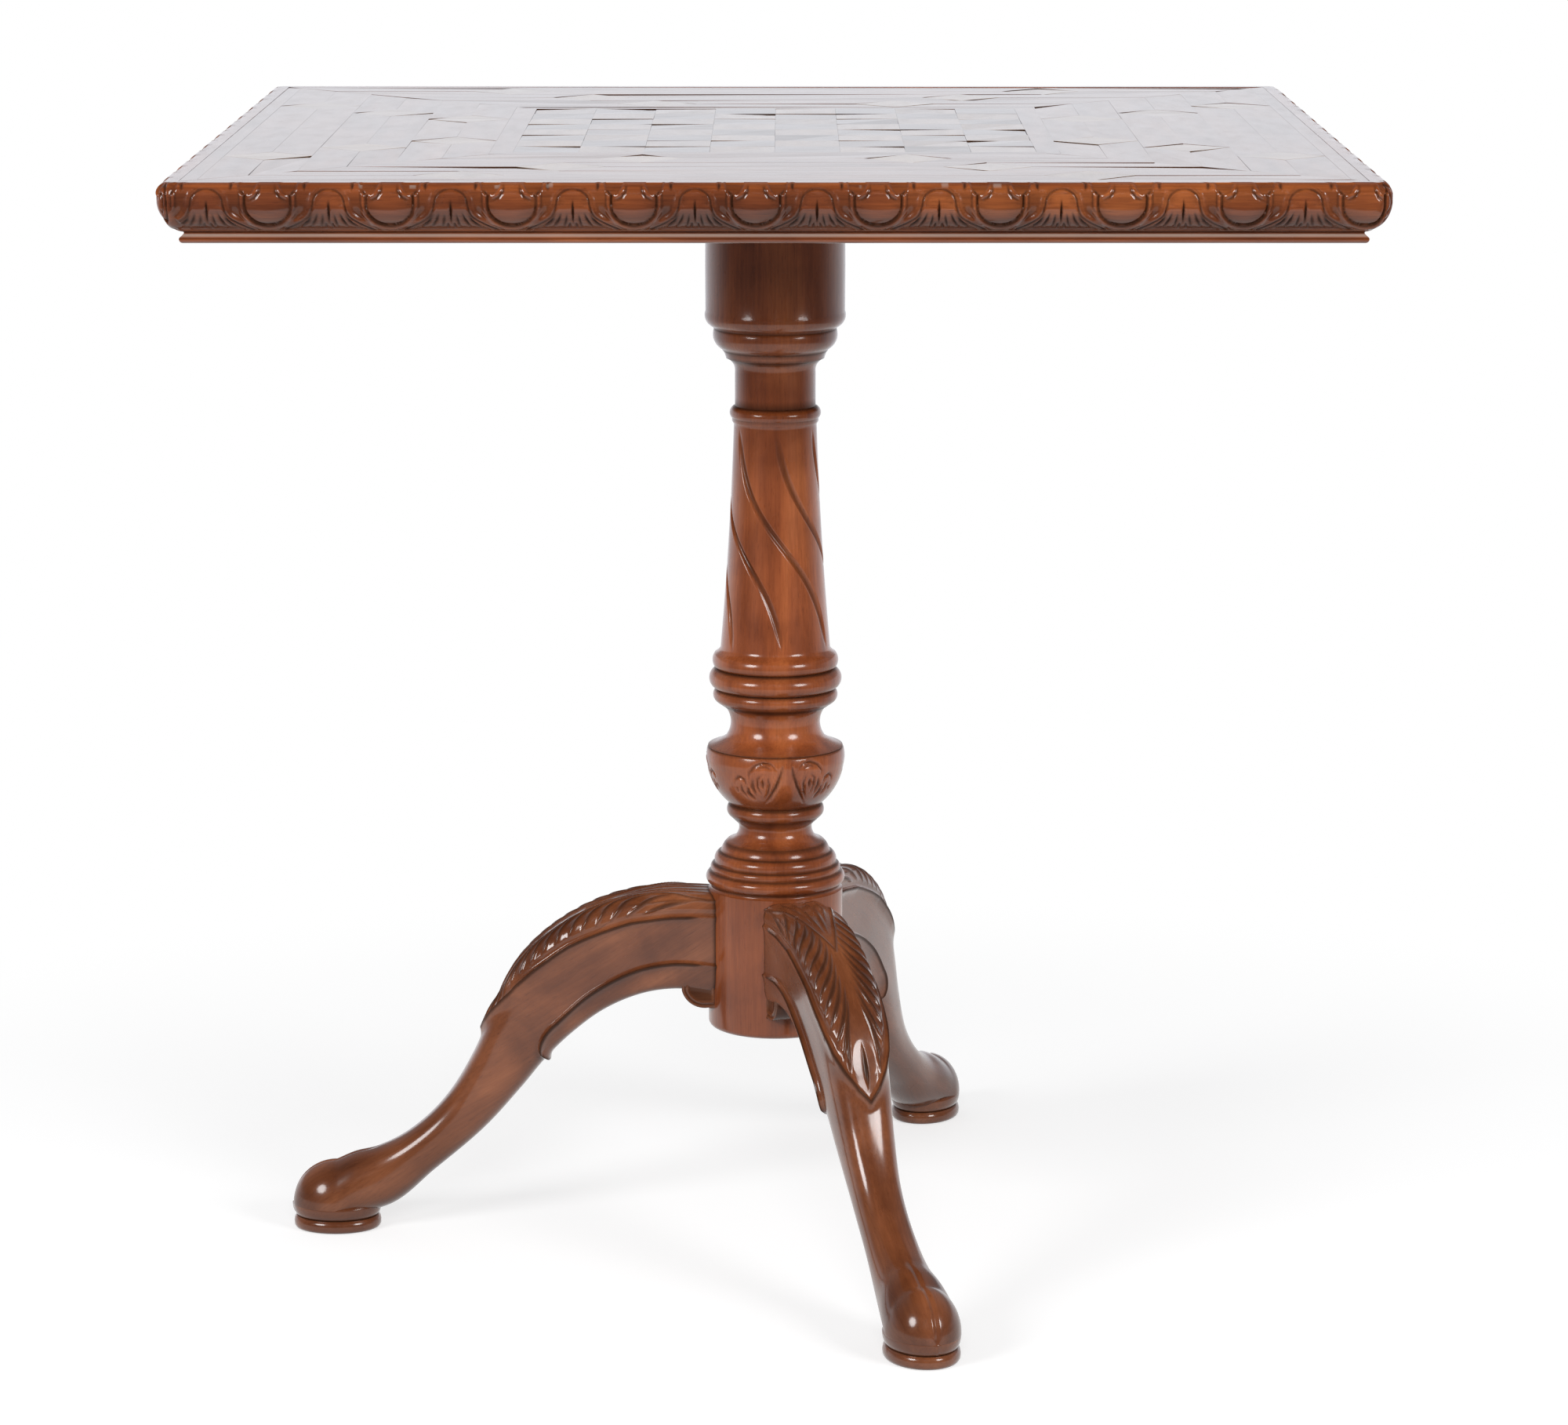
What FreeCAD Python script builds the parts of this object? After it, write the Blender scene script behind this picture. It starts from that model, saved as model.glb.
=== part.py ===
import FreeCAD, Part
import math
import os

# A square games table on a turned pillar and three cabriole legs. The parquetry top tilts
# on two iron pintles let into a block on top of the pillar, and a brass bolt locks it level.
# Millimetres, +Z up, origin on the floor under the pillar's axis. The front edge faces -Y.

# Overall sizes
table_height = 748.0
top_width = 723.0
edge_height = 37.0

# Carved edge moulding, planted round the ground boards
moulding_width = 25.5
moulding_lip = 9.5
moulding_bulge = 4.0
moulding_neck = 11.0
torus_height = 29.5
torus_widest = 10.0
fillet_height = 3.5
fillet_setback = 9.5
corner_radius = 11.0

# Parquetry laid on the ground boards
veneer_thickness = 3.0
square_size = 41.0
squares_per_side = 8
border_width = 14.5
band_width = 10.0
strip_count = 3
diamond_places = (0.40, 0.50, 0.60)
board_count = 5

# Block, pintles and bearers that let the top tilt
block_width = 104.0
block_height = 31.7
pintle_radius = 6.0
pintle_drop = 15.0
pintle_in_block = 28.0
pintle_in_bearer = 22.0
tilt_clearance = 0.3
bearer_gap = 0.5
bearer_length = 560.0
bearer_width = 34.0
bearer_height = 28.0
bearer_end_height = 12.0
bearer_taper = 70.0
bearer_screw_places = (-235.0, -150.0, -70.0, 110.0, 190.0, 235.0)
bearer_screw_radius = 2.2
bearer_screw_bite = 18.0
bearer_screw_cover = 8.0

# Brass bolt under the top and its keeper on the block
bolt_radius = 5.0
bolt_throw = 16.0
bolt_nose_gap = 3.0
bolt_axis_drop = 10.0
bolt_nose_length = 7.0
bolt_tail = 10.0
plate_length = 70.0
plate_width = 38.0
plate_thickness = 2.5
guide_length = 12.0
guide_wall = 3.5
knob_radius = 5.5
knob_stem_radius = 2.5
knob_stem_length = 4.0
keeper_thickness = 2.0
keeper_width = 44.0
keeper_height = 17.0
mortise_depth = 16.0
brass_screw_radius = 1.5
brass_screw_head = 3.2
brass_screw_length = 14.0
brass_screw_margin = 5.0

# Pillar, turned from one length
drum_radius = 46.2
drum_length = 52.0
tenon_radius = 18.0
wedge_depth = 24.0
wedge_top = 5.0
wedge_tip = 1.5
neck_radius = 26.8
shaft_foot_radius = 36.7
bowl_neck = 5.5
shaft_swell = (74.0, 4.3)
hub_radius = 45.3
hub_bottom = 142.5
hub_top = 238.0
hub_edge_radius = 4.0

# Turned mouldings, from the drum's foot down: (drop, radius beyond the drum's or the neck's).
# Two pairs in one row bend that stretch to an arc through the first pair.
drum_turning = (
    ((5.8, -1.0), (8.5, -4.4)),
    ((10.0, -5.6),),
    ((17.2, -5.4), (23.3, -10.4)),
    ((25.8, -12.4),),
)
neck_turning = (
    ((29.5, 5.8),),
    ((32.6, 1.6), (39.0, 0.0)),
    ((61.0, 0.0),),
    ((66.8, 3.5), (72.0, 0.7)),
    ((73.5, 0.7),),
)
# Beads, scotia and bowl below the shaft: (drop from the shaft's foot, radius beyond the shaft's foot)
bowl_turning = (
    ((2.0, 1.6), (3.8, 4.0)),
    ((7.5, 5.4), (12.2, 4.4)),
    ((13.6, 3.6),),
    ((20.6, 7.7), (27.6, 3.6)),
    ((29.0, 4.2),),
    ((32.6, 5.0), (36.4, 2.6)),
    ((40.5, -3.4),),
    ((49.5, -6.7), (61.0, -3.0)),
    ((65.0, 4.4), (67.0, 7.8)),
    ((72.5, 9.9), (79.0, 9.2)),
    ((95.0, 3.6), (106.0, -6.1)),
    ((110.5, -4.0), (115.0, -6.4)),
)
# Scotia and stepped rings that lie on the hub: (rise above the hub's top, radius beyond the hub's)
ring_turning = (
    ((44.0, -20.7), (32.5, -12.8)),
    ((28.6, -9.7), (25.6, -7.5)),
    ((22.0, -4.6), (17.6, -3.4)),
    ((15.0, -1.5), (12.4, -0.8)),
    ((8.0, 1.5), (3.4, -0.2)),
    ((1.4, -1.2), (0.0, 0.0)),
)

# Spiral flutes cut in the shaft
flute_count = 6
flute_radius = 2.6
flute_lift = 0.9
flute_run_out = 1.9
flute_top_gap = 3.0
flute_foot_gap = 2.0
flute_turn = 126.0
flute_start = -148.0
flute_ease = 0.06

# Cabriole legs, dovetailed into the hub
leg_azimuths = {"left": 180.0, "front": -72.0, "back": 68.5}
leg_width = 42.0
shoulder_top = 235.5
shoulder_under = 170.0
tail_neck = 15.0
tail_width = 23.0
tail_depth = 18.0
drop_block_reach = 18.0
drop_block_height = 12.0
# Knee to ankle, from the hub's face outwards: (reach beyond the hub, height) of the top line and of the
# underside, then the width beyond the leg's and how square the section is
leg_line = (
    ((34.0, 235.3), (22.0, 170.0), 0.0, 5.0),
    ((68.0, 227.6), (45.0, 166.4), 1.0, 4.5),
    ((100.0, 211.4), (70.0, 155.4), 2.0, 4.0),
    ((126.0, 188.0), (92.0, 138.5), 1.0, 3.5),
    ((145.5, 154.8), (111.0, 119.0), -2.0, 3.0),
    ((160.0, 122.5), (127.0, 99.2), -6.0, 2.7),
    ((179.0, 91.5), (152.0, 71.0), -10.0, 2.4),
    ((205.5, 66.5), (187.0, 40.6), -9.0, 2.3),
)
root_drop = 4.0
root_squareness = 5.0
section_steps = 6
toe_steps = 5
toe_close = 85.0
foot_reach = 299.5
foot_half_length = 30.0
foot_half_width = 24.5
foot_height = 46.5
foot_belly = 17.0
instep_rise = 4.5
instep_back = 10.0
instep_narrowing = 3.0
instep_squareness = 2.1
instep_belly = 0.3
heel_rise = 9.0
heel_lift = 6.2
heel_back = 27.0
heel_slope = 10.0
heel_narrowing = 4.0
heel_squareness = 2.2
heel_belly = 0.45
pad_height = 8.5
pad_inset = 0.8
pad_groove = 3.0
pad_groove_height = 1.5

# Fits
running_clearance = 0.05
glue_line = 0.05

underside = table_height - edge_height
arris = top_width / 2
field_half = arris - moulding_lip
ground_half = arris - moulding_width
ground_top = table_height - veneer_thickness
board_half = square_size * squares_per_side / 2
strip_width = (field_half - board_half - border_width - band_width) / strip_count
block_half = block_width / 2
block_top = underside - tilt_clearance
block_bottom = block_top - block_height
pintle_x = block_half - (pintle_drop - tilt_clearance)
pintle_z = underside - pintle_drop
bearer_inner = block_half + bearer_gap
bolt_z = underside - bolt_axis_drop
keeper_face = -block_half - keeper_thickness
bolt_tip = keeper_face - bolt_nose_gap
plate_front = bolt_tip - bolt_nose_length
plate_back = plate_front - plate_length
shaft_foot_height = hub_top + ring_turning[0][0][0] + bowl_neck + bowl_turning[-1][-1][0]
shaft_top = block_bottom - drum_length - neck_turning[-1][0][0]
swell_low = pad_height + pad_groove_height

UP = FreeCAD.Vector(0, 0, 1)
ORIGIN = FreeCAD.Vector(0, 0, 0)


def vec(x, y, z):
    return FreeCAD.Vector(x, y, z)


def box(x0, x1, y0, y1, z0, z1):
    return Part.makeBox(x1 - x0, y1 - y0, z1 - z0, vec(x0, y0, z0))


def prism(outline, z0, z1):
    """A flat outline of (x, y) points raised from z0 to z1."""
    points = [vec(x, y, z0) for x, y in outline]
    face = Part.Face(Part.makePolygon(points + points[:1]))
    return face.extrude(vec(0, 0, z1 - z0))


def turned(shape, degrees):
    """A copy turned about the table's upright axis."""
    copy = shape.copy()
    copy.rotate(ORIGIN, UP, degrees)
    return copy


def four_sides(shape):
    return [turned(shape, quarter * 90.0) for quarter in range(4)]


def save(node, *solids):
    shape = solids[0] if len(solids) == 1 else Part.makeCompound(solids)
    shape.exportStep("parts/" + node + ".step")


def countersunk_screw(head_radius, shank_radius, length):
    """A wood screw with its head's flat at the origin, pointing along +Z."""
    head_height = head_radius - shank_radius
    head = Part.makeCone(head_radius, shank_radius, head_height)
    shank = Part.makeCylinder(shank_radius, length - head_height, vec(0, 0, head_height))
    return head.fuse(shank).removeSplitter()


def edge_moulding():
    """One length of the edge, along the front, mitred at both ends and eased at the corners."""

    def at(outward, down):
        return vec(0, -(arris + outward), table_height - down)

    neck_foot = torus_height + 1.5
    fillet_top = edge_height - fillet_height
    swell = [at(0, 0), at(moulding_bulge * 0.80, torus_widest * 0.42), at(moulding_bulge, torus_widest)]
    tuck = [swell[2], at(-moulding_neck * 0.08, torus_height * 0.80), at(-moulding_neck, torus_height)]
    cove = [at(-moulding_neck, neck_foot), at(-moulding_neck + 0.3, fillet_top - 0.6), at(-fillet_setback, fillet_top)]
    outline = [
        Part.Arc(*swell).toShape(),
        Part.Arc(*tuck).toShape(),
        Part.makeLine(tuck[2], cove[0]),
        Part.Arc(*cove).toShape(),
    ]
    corners = [
        cove[2],
        at(-fillet_setback, edge_height),
        at(-moulding_width, edge_height),
        at(-moulding_width, veneer_thickness),
        at(-moulding_lip, veneer_thickness),
        at(-moulding_lip, 0),
        swell[0],
    ]
    for start, end in zip(corners, corners[1:]):
        outline.append(Part.makeLine(start, end))
    reach = arris + moulding_bulge
    length = Part.Face(Part.Wire(outline)).extrude(vec(2 * reach, 0, 0))
    length.translate(vec(-reach, 0, 0))
    mitre = prism([(0, 0), (-2 * reach, -2 * reach), (2 * reach, -2 * reach)], 0, table_height + 1)
    eased = box(-reach, reach, -reach, reach, 0, table_height + 1)
    upright = [edge for edge in eased.Edges if abs(edge.tangentAt(edge.FirstParameter).z) > 0.9]
    return length.common(mitre).common(eased.makeFillet(corner_radius, upright))


def ground_boards():
    """Plain boards glued edge to edge, bored for the screws that reach into them."""
    board_width = 2 * ground_half / board_count
    boards = []
    for index in range(board_count):
        near = -ground_half + index * board_width
        board = box(-ground_half, ground_half, near, near + board_width, underside, ground_top)
        for screw in bearer_screws(glue_line) + bolt_screws(glue_line):
            board = board.cut(screw)
        boards.append(board)
    return boards


def chess_squares(colour):
    squares = []
    for column in range(squares_per_side):
        for row in range(squares_per_side):
            if (column + row) % 2 == colour:
                x = -board_half + column * square_size
                y = -board_half + row * square_size
                squares.append(box(x, x + square_size, y, y + square_size, ground_top, table_height))
    return squares


def mitred_strips(inner, outer):
    strip = prism([(-outer, -outer), (outer, -outer), (inner, -inner), (-inner, -inner)], ground_top, table_height)
    return four_sides(strip)


def strip_laths(inner, place):
    """One parquetry frame: paired laths on each side, broken by two diamonds set on point."""
    outer = inner + strip_width
    middle = (inner + outer) / 2
    half = strip_width / 2
    spot = middle * place
    outlines = [
        [(-outer, -outer), (-spot, -outer), (-spot - half, -middle), (-middle, -middle)],
        [(-middle, -middle), (-spot - half, -middle), (-spot, -inner), (-inner, -inner)],
        [(outer, -outer), (middle, -middle), (spot + half, -middle), (spot, -outer)],
        [(middle, -middle), (inner, -inner), (spot, -inner), (spot + half, -middle)],
        [(-spot, -outer), (spot, -outer), (spot - half, -middle), (-spot + half, -middle)],
        [(-spot + half, -middle), (spot - half, -middle), (spot, -inner), (-spot, -inner)],
    ]
    laths = []
    for outline in outlines:
        laths += four_sides(prism(outline, ground_top, table_height))
    return laths


def strip_diamonds(inner, place):
    middle = inner + strip_width / 2
    half = strip_width / 2
    diamonds = []
    for spot in (-middle * place, middle * place):
        outline = [(spot, -middle - half), (spot + half, -middle), (spot, -middle + half), (spot - half, -middle)]
        diamonds += four_sides(prism(outline, ground_top, table_height))
    return diamonds


def bearer_screws(clearance=0.0):
    """Screws driven up through both bearers, their heads sunk in counterbores."""
    screws = []
    for side in (-1, 1):
        for place in bearer_screw_places:
            shank = Part.makeCylinder(bearer_screw_radius + clearance, bearer_screw_cover + bearer_screw_bite + clearance)
            head = Part.makeCylinder(2 * bearer_screw_radius + clearance, bearer_screw_radius + clearance)
            head.translate(vec(0, 0, -bearer_screw_radius))
            screw = head.fuse(shank).removeSplitter()
            y = side * (bearer_inner + bearer_width / 2)
            screw.translate(vec(place, y, underside - bearer_screw_cover))
            screws.append(screw)
    return screws


def bearer(side):
    """A rail along the underside, tapered at both ends and bored for its pintle."""
    half = bearer_length / 2
    bottom = underside - bearer_height
    end = underside - bearer_end_height
    outline = [
        vec(-half, 0, underside),
        vec(half, 0, underside),
        vec(half, 0, end),
        vec(half - bearer_taper, 0, bottom),
        vec(-half + bearer_taper, 0, bottom),
        vec(-half, 0, end),
    ]
    inner = side * bearer_inner
    rail = Part.Face(Part.makePolygon(outline + outline[:1])).extrude(vec(0, side * bearer_width, 0))
    rail.translate(vec(0, inner, 0))
    depth = pintle_in_bearer + running_clearance
    rail = rail.cut(pintle_bore(pintle_radius + running_clearance, inner, side * depth))
    for screw in bearer_screws(glue_line):
        sink = Part.makeCylinder(screw.BoundBox.XLength / 2, bearer_height)
        sink.translate(vec(screw.BoundBox.Center.x, screw.BoundBox.Center.y, screw.BoundBox.ZMin - bearer_height))
        rail = rail.cut(screw).cut(sink)
    return rail


def pintle_bore(radius, start, length):
    """A round bar on the tilt axis from y = start, running length along Y."""
    bar = Part.makeCylinder(radius, abs(length), vec(0, 0, 0), vec(0, math.copysign(1, length), 0))
    bar.translate(vec(pintle_x, start, pintle_z))
    return bar


def pintle(side):
    start = side * (block_half - pintle_in_block)
    return pintle_bore(pintle_radius, start, side * (pintle_in_block + bearer_gap + pintle_in_bearer))


def tilt_block():
    """The block on the pillar, rounded about the tilt axis so that the top can swing past it."""
    block = box(-block_half, block_half, -block_half, block_half, block_bottom, block_top)
    for edge in block.Edges:
        centre = edge.CenterOfMass
        if abs(centre.x - block_half) < 1e-6 and abs(centre.z - block_top) < 1e-6:
            swing_edge = edge
    block = block.makeFillet(pintle_drop - tilt_clearance, [swing_edge])
    block = block.cut(Part.makeCylinder(tenon_radius + glue_line, block_height, vec(0, 0, block_bottom)))
    for side in (-1, 1):
        start = side * (block_half - pintle_in_block - glue_line)
        block = block.cut(pintle_bore(pintle_radius + glue_line, start, side * (pintle_in_block + glue_line)))
    mortise = Part.makeCylinder(bolt_radius + tilt_clearance, mortise_depth, vec(0, 0, 0), vec(1, 0, 0))
    mortise.translate(vec(-block_half, 0, bolt_z))
    block = block.cut(mortise)
    for screw in keeper_screws(glue_line):
        block = block.cut(screw)
    return block


def tenon_wedge():
    half = math.sqrt(tenon_radius ** 2 - (wedge_top / 2) ** 2) - glue_line
    outline = [
        vec(-wedge_top / 2, 0, block_top),
        vec(wedge_top / 2, 0, block_top),
        vec(wedge_tip / 2, 0, block_top - wedge_depth),
        vec(-wedge_tip / 2, 0, block_top - wedge_depth),
    ]
    wedge = Part.Face(Part.makePolygon(outline + outline[:1])).extrude(vec(0, 2 * half, 0))
    wedge.translate(vec(0, -half, 0))
    return wedge


def bolt_plate():
    """The bolt's base plate with two bored guides cast on it."""
    plate = box(plate_back, plate_front, -plate_width / 2, plate_width / 2, underside - plate_thickness, underside)
    guide_radius = bolt_radius + guide_wall
    for start in (plate_front - guide_length, plate_back):
        lug = Part.makeCylinder(guide_radius, guide_length, vec(start, 0, bolt_z), vec(1, 0, 0))
        saddle = box(start, start + guide_length, -guide_radius, guide_radius, bolt_z, underside - plate_thickness)
        plate = plate.fuse(lug).fuse(saddle)
    bore = Part.makeCylinder(bolt_radius + running_clearance, plate_length, vec(plate_back, 0, bolt_z), vec(1, 0, 0))
    plate = plate.removeSplitter().cut(bore)
    for screw in bolt_screws(glue_line):
        plate = plate.cut(screw)
    return plate


def bolt_screws(clearance=0.0):
    screws = []
    for x in (plate_front - brass_screw_margin, plate_back + brass_screw_margin):
        for y in (-plate_width / 2 + brass_screw_margin, plate_width / 2 - brass_screw_margin):
            screw = countersunk_screw(
                brass_screw_head + clearance, brass_screw_radius + clearance, brass_screw_length + clearance
            )
            screw.translate(vec(x, y, underside - plate_thickness))
            screws.append(screw)
    return screws


def lock_bolt():
    """A round bolt, domed at the nose, with a turned knob hanging between the guides."""
    length = bolt_nose_length + plate_length + bolt_tail
    rod = Part.makeCylinder(bolt_radius, length, vec(bolt_tip - length, 0, bolt_z), vec(1, 0, 0))
    nose = [edge for edge in rod.Edges if abs(edge.CenterOfMass.x - bolt_tip) < 1e-6]
    rod = rod.makeFillet(bolt_radius * 0.4, nose)
    knob_x = (plate_front + plate_back - bolt_throw) / 2
    stem_end = bolt_z - bolt_radius - knob_stem_length
    stem = Part.makeCylinder(knob_stem_radius, bolt_z - stem_end, vec(knob_x, 0, stem_end))
    ball = Part.makeSphere(knob_radius, vec(knob_x, 0, stem_end - knob_radius * 0.8))
    return rod.fuse(stem).fuse(ball).removeSplitter()


def keeper_plate():
    low = bolt_z - keeper_height / 2
    plate = box(keeper_face, -block_half, -keeper_width / 2, keeper_width / 2, low, low + keeper_height)
    hole = Part.makeCylinder(bolt_radius + tilt_clearance, keeper_thickness, vec(keeper_face, 0, bolt_z), vec(1, 0, 0))
    plate = plate.cut(hole)
    for screw in keeper_screws(glue_line):
        plate = plate.cut(screw)
    return plate


def keeper_screws(clearance=0.0):
    screws = []
    for y in (-keeper_width / 2 + brass_screw_margin, keeper_width / 2 - brass_screw_margin):
        screw = countersunk_screw(
            brass_screw_head + clearance, brass_screw_radius + clearance, brass_screw_length + clearance
        )
        screw.rotate(ORIGIN, vec(0, 1, 0), 90)
        screw.translate(vec(keeper_face, y, bolt_z))
        screws.append(screw)
    return screws


def turning(rows, start, step, radius):
    """Places of a run of turned mouldings, counted from a height and a radius."""
    return [[vec(radius + out, 0, start + step * along) for along, out in row] for row in rows]


def pillar_outline():
    """Half section of the turning, from the tenon down to the hub's lower end."""
    drum_foot = block_bottom - drum_length
    shaft_foot = vec(shaft_foot_radius, 0, shaft_foot_height)
    edge = hub_edge_radius * (1 - math.sqrt(0.5))
    tenon_and_drum = [
        [vec(0, 0, block_top)],
        [vec(tenon_radius, 0, block_top)],
        [vec(tenon_radius, 0, block_bottom)],
        [vec(drum_radius, 0, block_bottom)],
        [vec(drum_radius, 0, drum_foot)],
    ]
    hub = [
        [vec(hub_radius, 0, hub_bottom + hub_edge_radius)],
        [vec(hub_radius - edge, 0, hub_bottom + edge), vec(hub_radius - hub_edge_radius, 0, hub_bottom)],
        [vec(0, 0, hub_bottom)],
        [vec(0, 0, block_top)],
    ]
    return (
        tenon_and_drum
        + turning(drum_turning, drum_foot, -1, drum_radius)
        + turning(neck_turning, drum_foot, -1, neck_radius)
        + [[shaft_middle(), shaft_foot]]
        + turning(bowl_turning, shaft_foot_height, -1, shaft_foot_radius)
        + turning(ring_turning, hub_top, 1, hub_radius)
        + hub
    )


def shaft_middle():
    return vec(neck_radius + shaft_swell[1], 0, shaft_foot_height + shaft_swell[0])


def shaft_radius(height):
    """The shaft's radius at a height, on the arc that its half section follows."""
    head = vec(neck_radius + neck_turning[-1][0][1], 0, shaft_top)
    foot = vec(shaft_foot_radius, 0, shaft_foot_height)
    arc = Part.Arc(head, shaft_middle(), foot).toShape().Curve
    across = math.sqrt(arc.Radius ** 2 - (height - arc.Center.z) ** 2)
    return arc.Center.x + math.copysign(across, head.x - arc.Center.x)


def spiral_flute(number):
    """A round cutter led down the shaft in a lazy spiral, drawn out of the wood at both ends."""
    high = shaft_top - flute_top_gap
    low = shaft_foot_height + flute_foot_gap
    steps = 8
    path = []
    for step in range(steps + 1):
        share = step / steps
        height = high + (low - high) * share
        eased = share - flute_ease * math.sin(2 * math.pi * share)
        angle = math.radians(flute_start + 360.0 / flute_count * number + flute_turn * eased)
        reach = shaft_radius(height) + flute_lift + flute_run_out * abs(2 * share - 1) ** 6
        path.append(vec(reach * math.cos(angle), reach * math.sin(angle), height))
    curve = Part.BSplineCurve()
    curve.interpolate(path)
    mouth = Part.Circle(path[0], curve.tangent(curve.FirstParameter)[0], flute_radius)
    return Part.Wire(curve.toShape()).makePipeShell([Part.Wire(mouth.toShape())], True, True)


def pillar():
    """The turned pillar with its wedged tenon, fluted shaft and dovetail housings in the hub."""
    stretches = pillar_outline()
    place = stretches[0][0]
    edges = []
    for stretch in stretches[1:]:
        if len(stretch) == 2:
            edges.append(Part.Arc(place, stretch[0], stretch[1]).toShape())
        else:
            edges.append(Part.makeLine(place, stretch[0]))
        place = stretch[-1]
    body = Part.Face(Part.Wire(edges)).revolve(ORIGIN, UP, 360)
    body = body.cut(tenon_wedge())
    for number in range(flute_count):
        body = body.cut(spiral_flute(number))
    for azimuth in leg_azimuths.values():
        body = body.cut(turned(dovetail(glue_line), azimuth))
    return body


def hub_envelope():
    """The hub's outside, with its lower edge rounded."""
    hub = Part.makeCylinder(hub_radius, hub_top - hub_bottom, vec(0, 0, hub_bottom))
    lower_edge = [edge for edge in hub.Edges if edge.BoundBox.ZMax < hub_bottom + hub_edge_radius]
    return hub.makeFillet(hub_edge_radius, lower_edge)


def dovetail(clearance=0.0):
    """A leg's tail, or with clearance its housing, from the hub's lower end up to the leg's top."""
    root = hub_radius - tail_depth - clearance
    mouth = hub_radius + leg_width / 4
    spread = (tail_width - tail_neck) / 2 / tail_depth
    mouth_half = tail_neck / 2 - spread * (mouth - hub_radius) + clearance
    root_half = tail_width / 2 + clearance
    outline = [(root, -root_half), (mouth, -mouth_half), (mouth, mouth_half), (root, root_half)]
    return prism(outline, hub_bottom, shoulder_top - tail_neck / 2 + clearance)


def leg_section(top, under, width, squareness, belly=0.5):
    """A rounded section across the leg, from its underside to its top line, widest at the belly."""
    bottom = vec(under[0], 0, under[1])
    rise = vec(top[0] - under[0], 0, top[1] - under[1])
    sides = []
    for side in range(4):
        points = []
        for step in range(section_steps + 1):
            angle = math.pi / 2 * (side + step / section_steps - 0.5)
            across = math.copysign(abs(math.cos(angle)) ** (2 / squareness), math.cos(angle))
            lift = math.copysign(abs(math.sin(angle)) ** (2 / squareness), math.sin(angle))
            share = belly + lift * (1 - belly if lift > 0 else belly)
            points.append(bottom + rise * share + vec(0, across * width / 2, 0))
        curve = Part.BSplineCurve()
        curve.interpolate(Points=points, Parameters=[step / section_steps for step in range(section_steps + 1)])
        sides.append(curve.toShape())
    return Part.Wire(sides)


def leg_sections():
    """Sections from inside the hub, over the knee and down the ankle to the rounded toe."""
    inside = hub_radius - tail_depth / 2
    root_under = shoulder_under - root_drop
    sections = [leg_section((inside, shoulder_top), (inside, root_under), leg_width, root_squareness)]
    for top, under, wider, squareness in leg_line:
        top = (hub_radius + top[0], top[1])
        under = (hub_radius + under[0], under[1])
        sections.append(leg_section(top, under, leg_width + wider, squareness))
    heel = foot_reach - heel_back
    heel_top = (heel, foot_height + heel_rise)
    heel_under = (heel - heel_slope, swell_low + heel_lift)
    sections.append(leg_section(heel_top, heel_under, leg_width - heel_narrowing, heel_squareness, heel_belly))
    instep = foot_reach - instep_back
    instep_top = (instep, foot_height + instep_rise)
    instep_width = 2 * foot_half_width - instep_narrowing
    sections.append(leg_section(instep_top, (instep, swell_low), instep_width, instep_squareness, instep_belly))
    belly = (foot_belly - swell_low) / (foot_height - swell_low)
    for step in range(toe_steps + 1):
        angle = math.radians(toe_close * step / toe_steps)
        reach = foot_reach + foot_half_length * math.sin(angle)
        top = foot_belly + (foot_height - foot_belly) * math.cos(angle)
        under = foot_belly + (swell_low - foot_belly) * math.cos(angle)
        width = 2 * foot_half_width * math.cos(angle)
        sections.append(leg_section((reach, top), (reach, under), width, 2.0, belly))
    return sections


def foot_pad():
    """The thin oval pad that stands on the floor, and the neck that joins it to the foot."""

    def oval(inset, low, high):
        ellipse = Part.Ellipse(vec(foot_reach, 0, low), foot_half_length - inset, foot_half_width - inset)
        return Part.Face(Part.Wire(ellipse.toShape())).extrude(vec(0, 0, high - low))

    pad = oval(pad_inset, 0, pad_height)
    pad = pad.makeFillet(pad_height * 0.25, pad.Edges[:1] + pad.Edges[-1:])
    return pad.fuse(oval(pad_groove, pad_height / 2, foot_belly))


def leg():
    """One cabriole leg along +X: lofted knee and ankle, pad foot, drop block and dovetail."""
    body = Part.makeLoft(leg_sections(), True, False)
    reach = hub_radius + drop_block_reach
    low = shoulder_under - drop_block_height
    start = vec(hub_radius, -leg_width / 2, low)
    round_end = vec(reach, -leg_width / 2, shoulder_under)
    bend = vec(hub_radius + drop_block_reach * 0.75, -leg_width / 2, low + drop_block_height * 0.36)
    inner = vec(hub_radius - tail_depth / 2, -leg_width / 2, low)
    head = vec(reach, -leg_width / 2, shoulder_under + drop_block_height)
    inner_head = vec(inner.x, inner.y, head.z)
    outline = [
        Part.makeLine(inner, start),
        Part.Arc(start, bend, round_end).toShape(),
        Part.makeLine(round_end, head),
        Part.makeLine(head, inner_head),
        Part.makeLine(inner_head, inner),
    ]
    drop = Part.Face(Part.Wire(outline)).extrude(vec(0, leg_width, 0))
    hub = Part.makeCylinder(hub_radius + glue_line, table_height)
    tail = dovetail()
    housed = tail.common(hub_envelope())
    tongue = tail.common(box(0, reach, -leg_width, leg_width, low, shoulder_top))
    return body.fuse(foot_pad()).fuse(drop).cut(hub).fuse(tongue).fuse(housed).removeSplitter()


os.makedirs("parts", exist_ok=True)

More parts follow.
